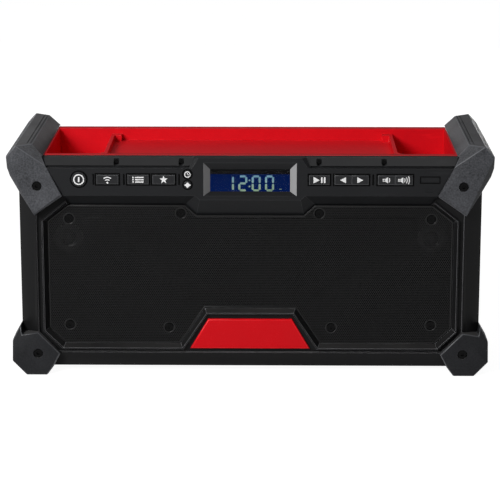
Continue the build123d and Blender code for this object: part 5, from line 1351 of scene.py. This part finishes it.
    def clock(self, bm, centre, relief, line, quarter):
        ring(bm, centre + Vector((0, relief / 2, 0)), 2.65 * MM, line, relief, 32)
        bar(bm, centre + Vector((0, 0, 0.5 * MM)), (0.6 * MM, relief, 1.6 * MM))
        bar(bm, centre + Vector((0.5 * MM, 0, -0.15 * MM)), (1.5 * MM, relief, 0.6 * MM))

    def select(self, bm, centre, relief, line, quarter):
        self.star(bm, centre, relief, 4, 2.9 * MM, 0.62, 0.83)


class RADIO_OT_display(bpy.types.Operator):
    """Makes the window, the blue glass and the lit digits"""

    bl_idname = "radio.display"
    bl_label = "Display"

    segments = {
        "0": "abcdef", "1": "bc", "2": "abged", "3": "abgcd", "4": "fgbc",
        "5": "afgcd", "6": "afgedc", "7": "abc", "8": "abcdefg", "9": "abcdfg",
    }

    relief = 0.12 * MM
    # How far the digits sit below and to the left of the middle of the glass.
    drop, shift = 2.85 * MM, 0.52 * MM
    colon_rise, colon_radius = 2.6 * MM, 0.75 * MM
    dash_x, dash_drop, dash_across, dash_up = 25.35 * MM, 4.85 * MM, 2.2 * MM, 0.5 * MM
    mask_depth = 0.14 * MM
    segment_gap = 0.75 * MM

    def execute(self, context):
        look = settings().display
        dress(["display_lens"], window_glass())
        dress(["lcd_panel"], display_glass())
        dress(["lcd_backlight"], display_mask())
        low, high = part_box("lcd_panel")
        middle = (low.z + high.z) / 2 - self.drop
        pitch = look.digit_width + look.gap
        x = look.gap / 2 - self.shift - pitch * len(look.time.replace(":", "")) / 2
        bm = bmesh.new()
        for sign in look.time:
            if sign == ":":
                for rise in (-self.colon_rise, self.colon_rise):
                    dot = Vector((x - look.gap / 2, low.y, middle + rise))
                    plug(bm, dot, self.colon_radius, self.relief, 12)
                continue
            self.digit(bm, sign, x, low.y, middle, look)
            x += pitch
        dash = Vector((self.dash_x, low.y, middle - self.dash_drop))
        bar(bm, dash, (self.dash_across, self.relief, self.dash_up))
        finish_piece("clock_digits", tidy_normals(bm), lit_segments(), "radio", smooth=30.0)
        mask = bmesh.new()
        bar(mask, Vector((0, low.y, high.z - look.mask / 2)), (high.x - low.x, self.mask_depth, look.mask))
        finish_piece("display_band", tidy_normals(mask), display_mask(), "radio", smooth=30.0)
        return {"FINISHED"}

    def digit(self, bm, sign, x, y, z, look):
        """Seven bars, each with pointed ends."""
        width, height, stroke = look.digit_width, look.digit_height, look.stroke
        half = (height - stroke) / 2
        left, right = x + stroke / 2, x + width - stroke / 2
        across, up = right - left, half
        middle, above, below = (left + right) / 2, z + half / 2, z - half / 2
        bars = {
            "a": (middle, z + half, across, False), "g": (middle, z, across, False),
            "d": (middle, z - half, across, False),
            "f": (left, above, up, True), "b": (right, above, up, True),
            "e": (left, below, up, True), "c": (right, below, up, True),
        }
        for key in self.segments[sign]:
            cx, cz, run, standing = bars[key]
            turn = 0.0 if standing else math.radians(90)
            verts = plug(bm, Vector((cx, y, cz)), stroke / 2, self.relief, 6, turn)
            stretch = (run - self.segment_gap - stroke) / 2
            for vert in verts:
                offset = (vert.co.z - cz) if standing else (vert.co.x - cx)
                if abs(offset) > stroke * 0.1:
                    move = math.copysign(stretch, offset)
                    if standing:
                        vert.co.z += move
                    else:
                        vert.co.x += move


class RADIO_OT_speakers(bpy.types.Operator):
    """Dresses the woofers and tweeters behind the grille"""

    bl_idname = "radio.speakers"
    bl_label = "Speakers"

    def execute(self, context):
        for side in ("left", "right"):
            dress([f"woofer_frame_{side}"], black_nylon())
            dress([f"woofer_cone_{side}"], cone_paper())
            dress([f"woofer_magnet_{side}"], ferrite())
            dress([f"tweeter_frame_{side}"], tweeter_gloss())
        dress(["woofer_gaskets"], gasket_foam())
        dress(["tweeter_domes"], dome_silk())
        return {"FINISHED"}


class RADIO_OT_electronics(bpy.types.Operator):
    """Dresses the boards and what stands on them"""

    bl_idname = "radio.electronics"
    bl_label = "Electronics"

    def execute(self, context):
        dress(["main_board", "power_board", "keypad_board", "port_board"], circuit_board())
        dress(["heatsink"], cast_aluminium())
        dress(["antenna_rod"], ferrite())
        dress(["antenna_clips", "terminal_block"], black_nylon())
        dress(["transformer"], core_tape())
        dress(["capacitors"], capacitor_sleeve())
        dress(["keypad_membrane"], cover_rubber())
        return {"FINISHED"}


class RADIO_OT_back(bpy.types.Operator):
    """Dresses the battery dock, the ports and their covers"""

    bl_idname = "radio.back"
    bl_label = "Back"

    def execute(self, context):
        dress(["battery_dock", "ac_inlet", "aux_jack"], black_nylon())
        dress(["battery_terminals", "inlet_pins"], gold_contact())
        dress(["usb_port", "cover_pins"], bright_steel())
        for name in ("port_cover", "inlet_cover"):
            softened_piece(
                f"{name}_flap", name, cover_rubber(), radius=0.4 * MM, shortest=3 * MM
            )
        return {"FINISHED"}


class RADIO_OT_fasteners(bpy.types.Operator):
    """Dresses every screw"""

    bl_idname = "radio.fasteners"
    bl_label = "Fasteners"

    def execute(self, context):
        dress(["guard_screws", "grille_screws", "fascia_screws", "housing_screws"], screw_black())
        dress(["board_screws", "woofer_screws"], bright_steel())
        return {"FINISHED"}


class RADIO_PT_panel(bpy.types.Panel):
    """Lists the pieces of the radio"""

    bl_idname = "RADIO_PT_panel"
    bl_label = "Radio"
    bl_space_type = "VIEW_3D"
    bl_region_type = "UI"
    bl_category = "Radio"

    def draw(self, context):
        for operator in OPERATORS:
            self.layout.operator(operator.bl_idname)


OPERATORS = (
    RADIO_OT_housings,
    RADIO_OT_guards,
    RADIO_OT_tray,
    RADIO_OT_badge,
    RADIO_OT_grille,
    RADIO_OT_fascia,
    RADIO_OT_keys,
    RADIO_OT_display,
    RADIO_OT_speakers,
    RADIO_OT_electronics,
    RADIO_OT_back,
    RADIO_OT_fasteners,
    RADIO_OT_stage,
)
GROUPS = (
    StageSettings,
    EdgeSettings,
    FinishSettings,
    GrilleSettings,
    DisplaySettings,
    SymbolSettings,
    RadioSettings,
)


def register():
    for entry in GROUPS + OPERATORS + (RADIO_PT_panel,):
        bpy.utils.register_class(entry)
    bpy.types.Scene.radio = PointerProperty(type=RadioSettings, name="Radio", description="Sizes and colours")


def unregister():
    del bpy.types.Scene.radio
    for entry in reversed(GROUPS + OPERATORS + (RADIO_PT_panel,)):
        bpy.utils.unregister_class(entry)


def main():
    register()
    for operator in OPERATORS:
        group, name = operator.bl_idname.split(".")
        getattr(getattr(bpy.ops, group), name)()


if __name__ == "__main__":
    main()
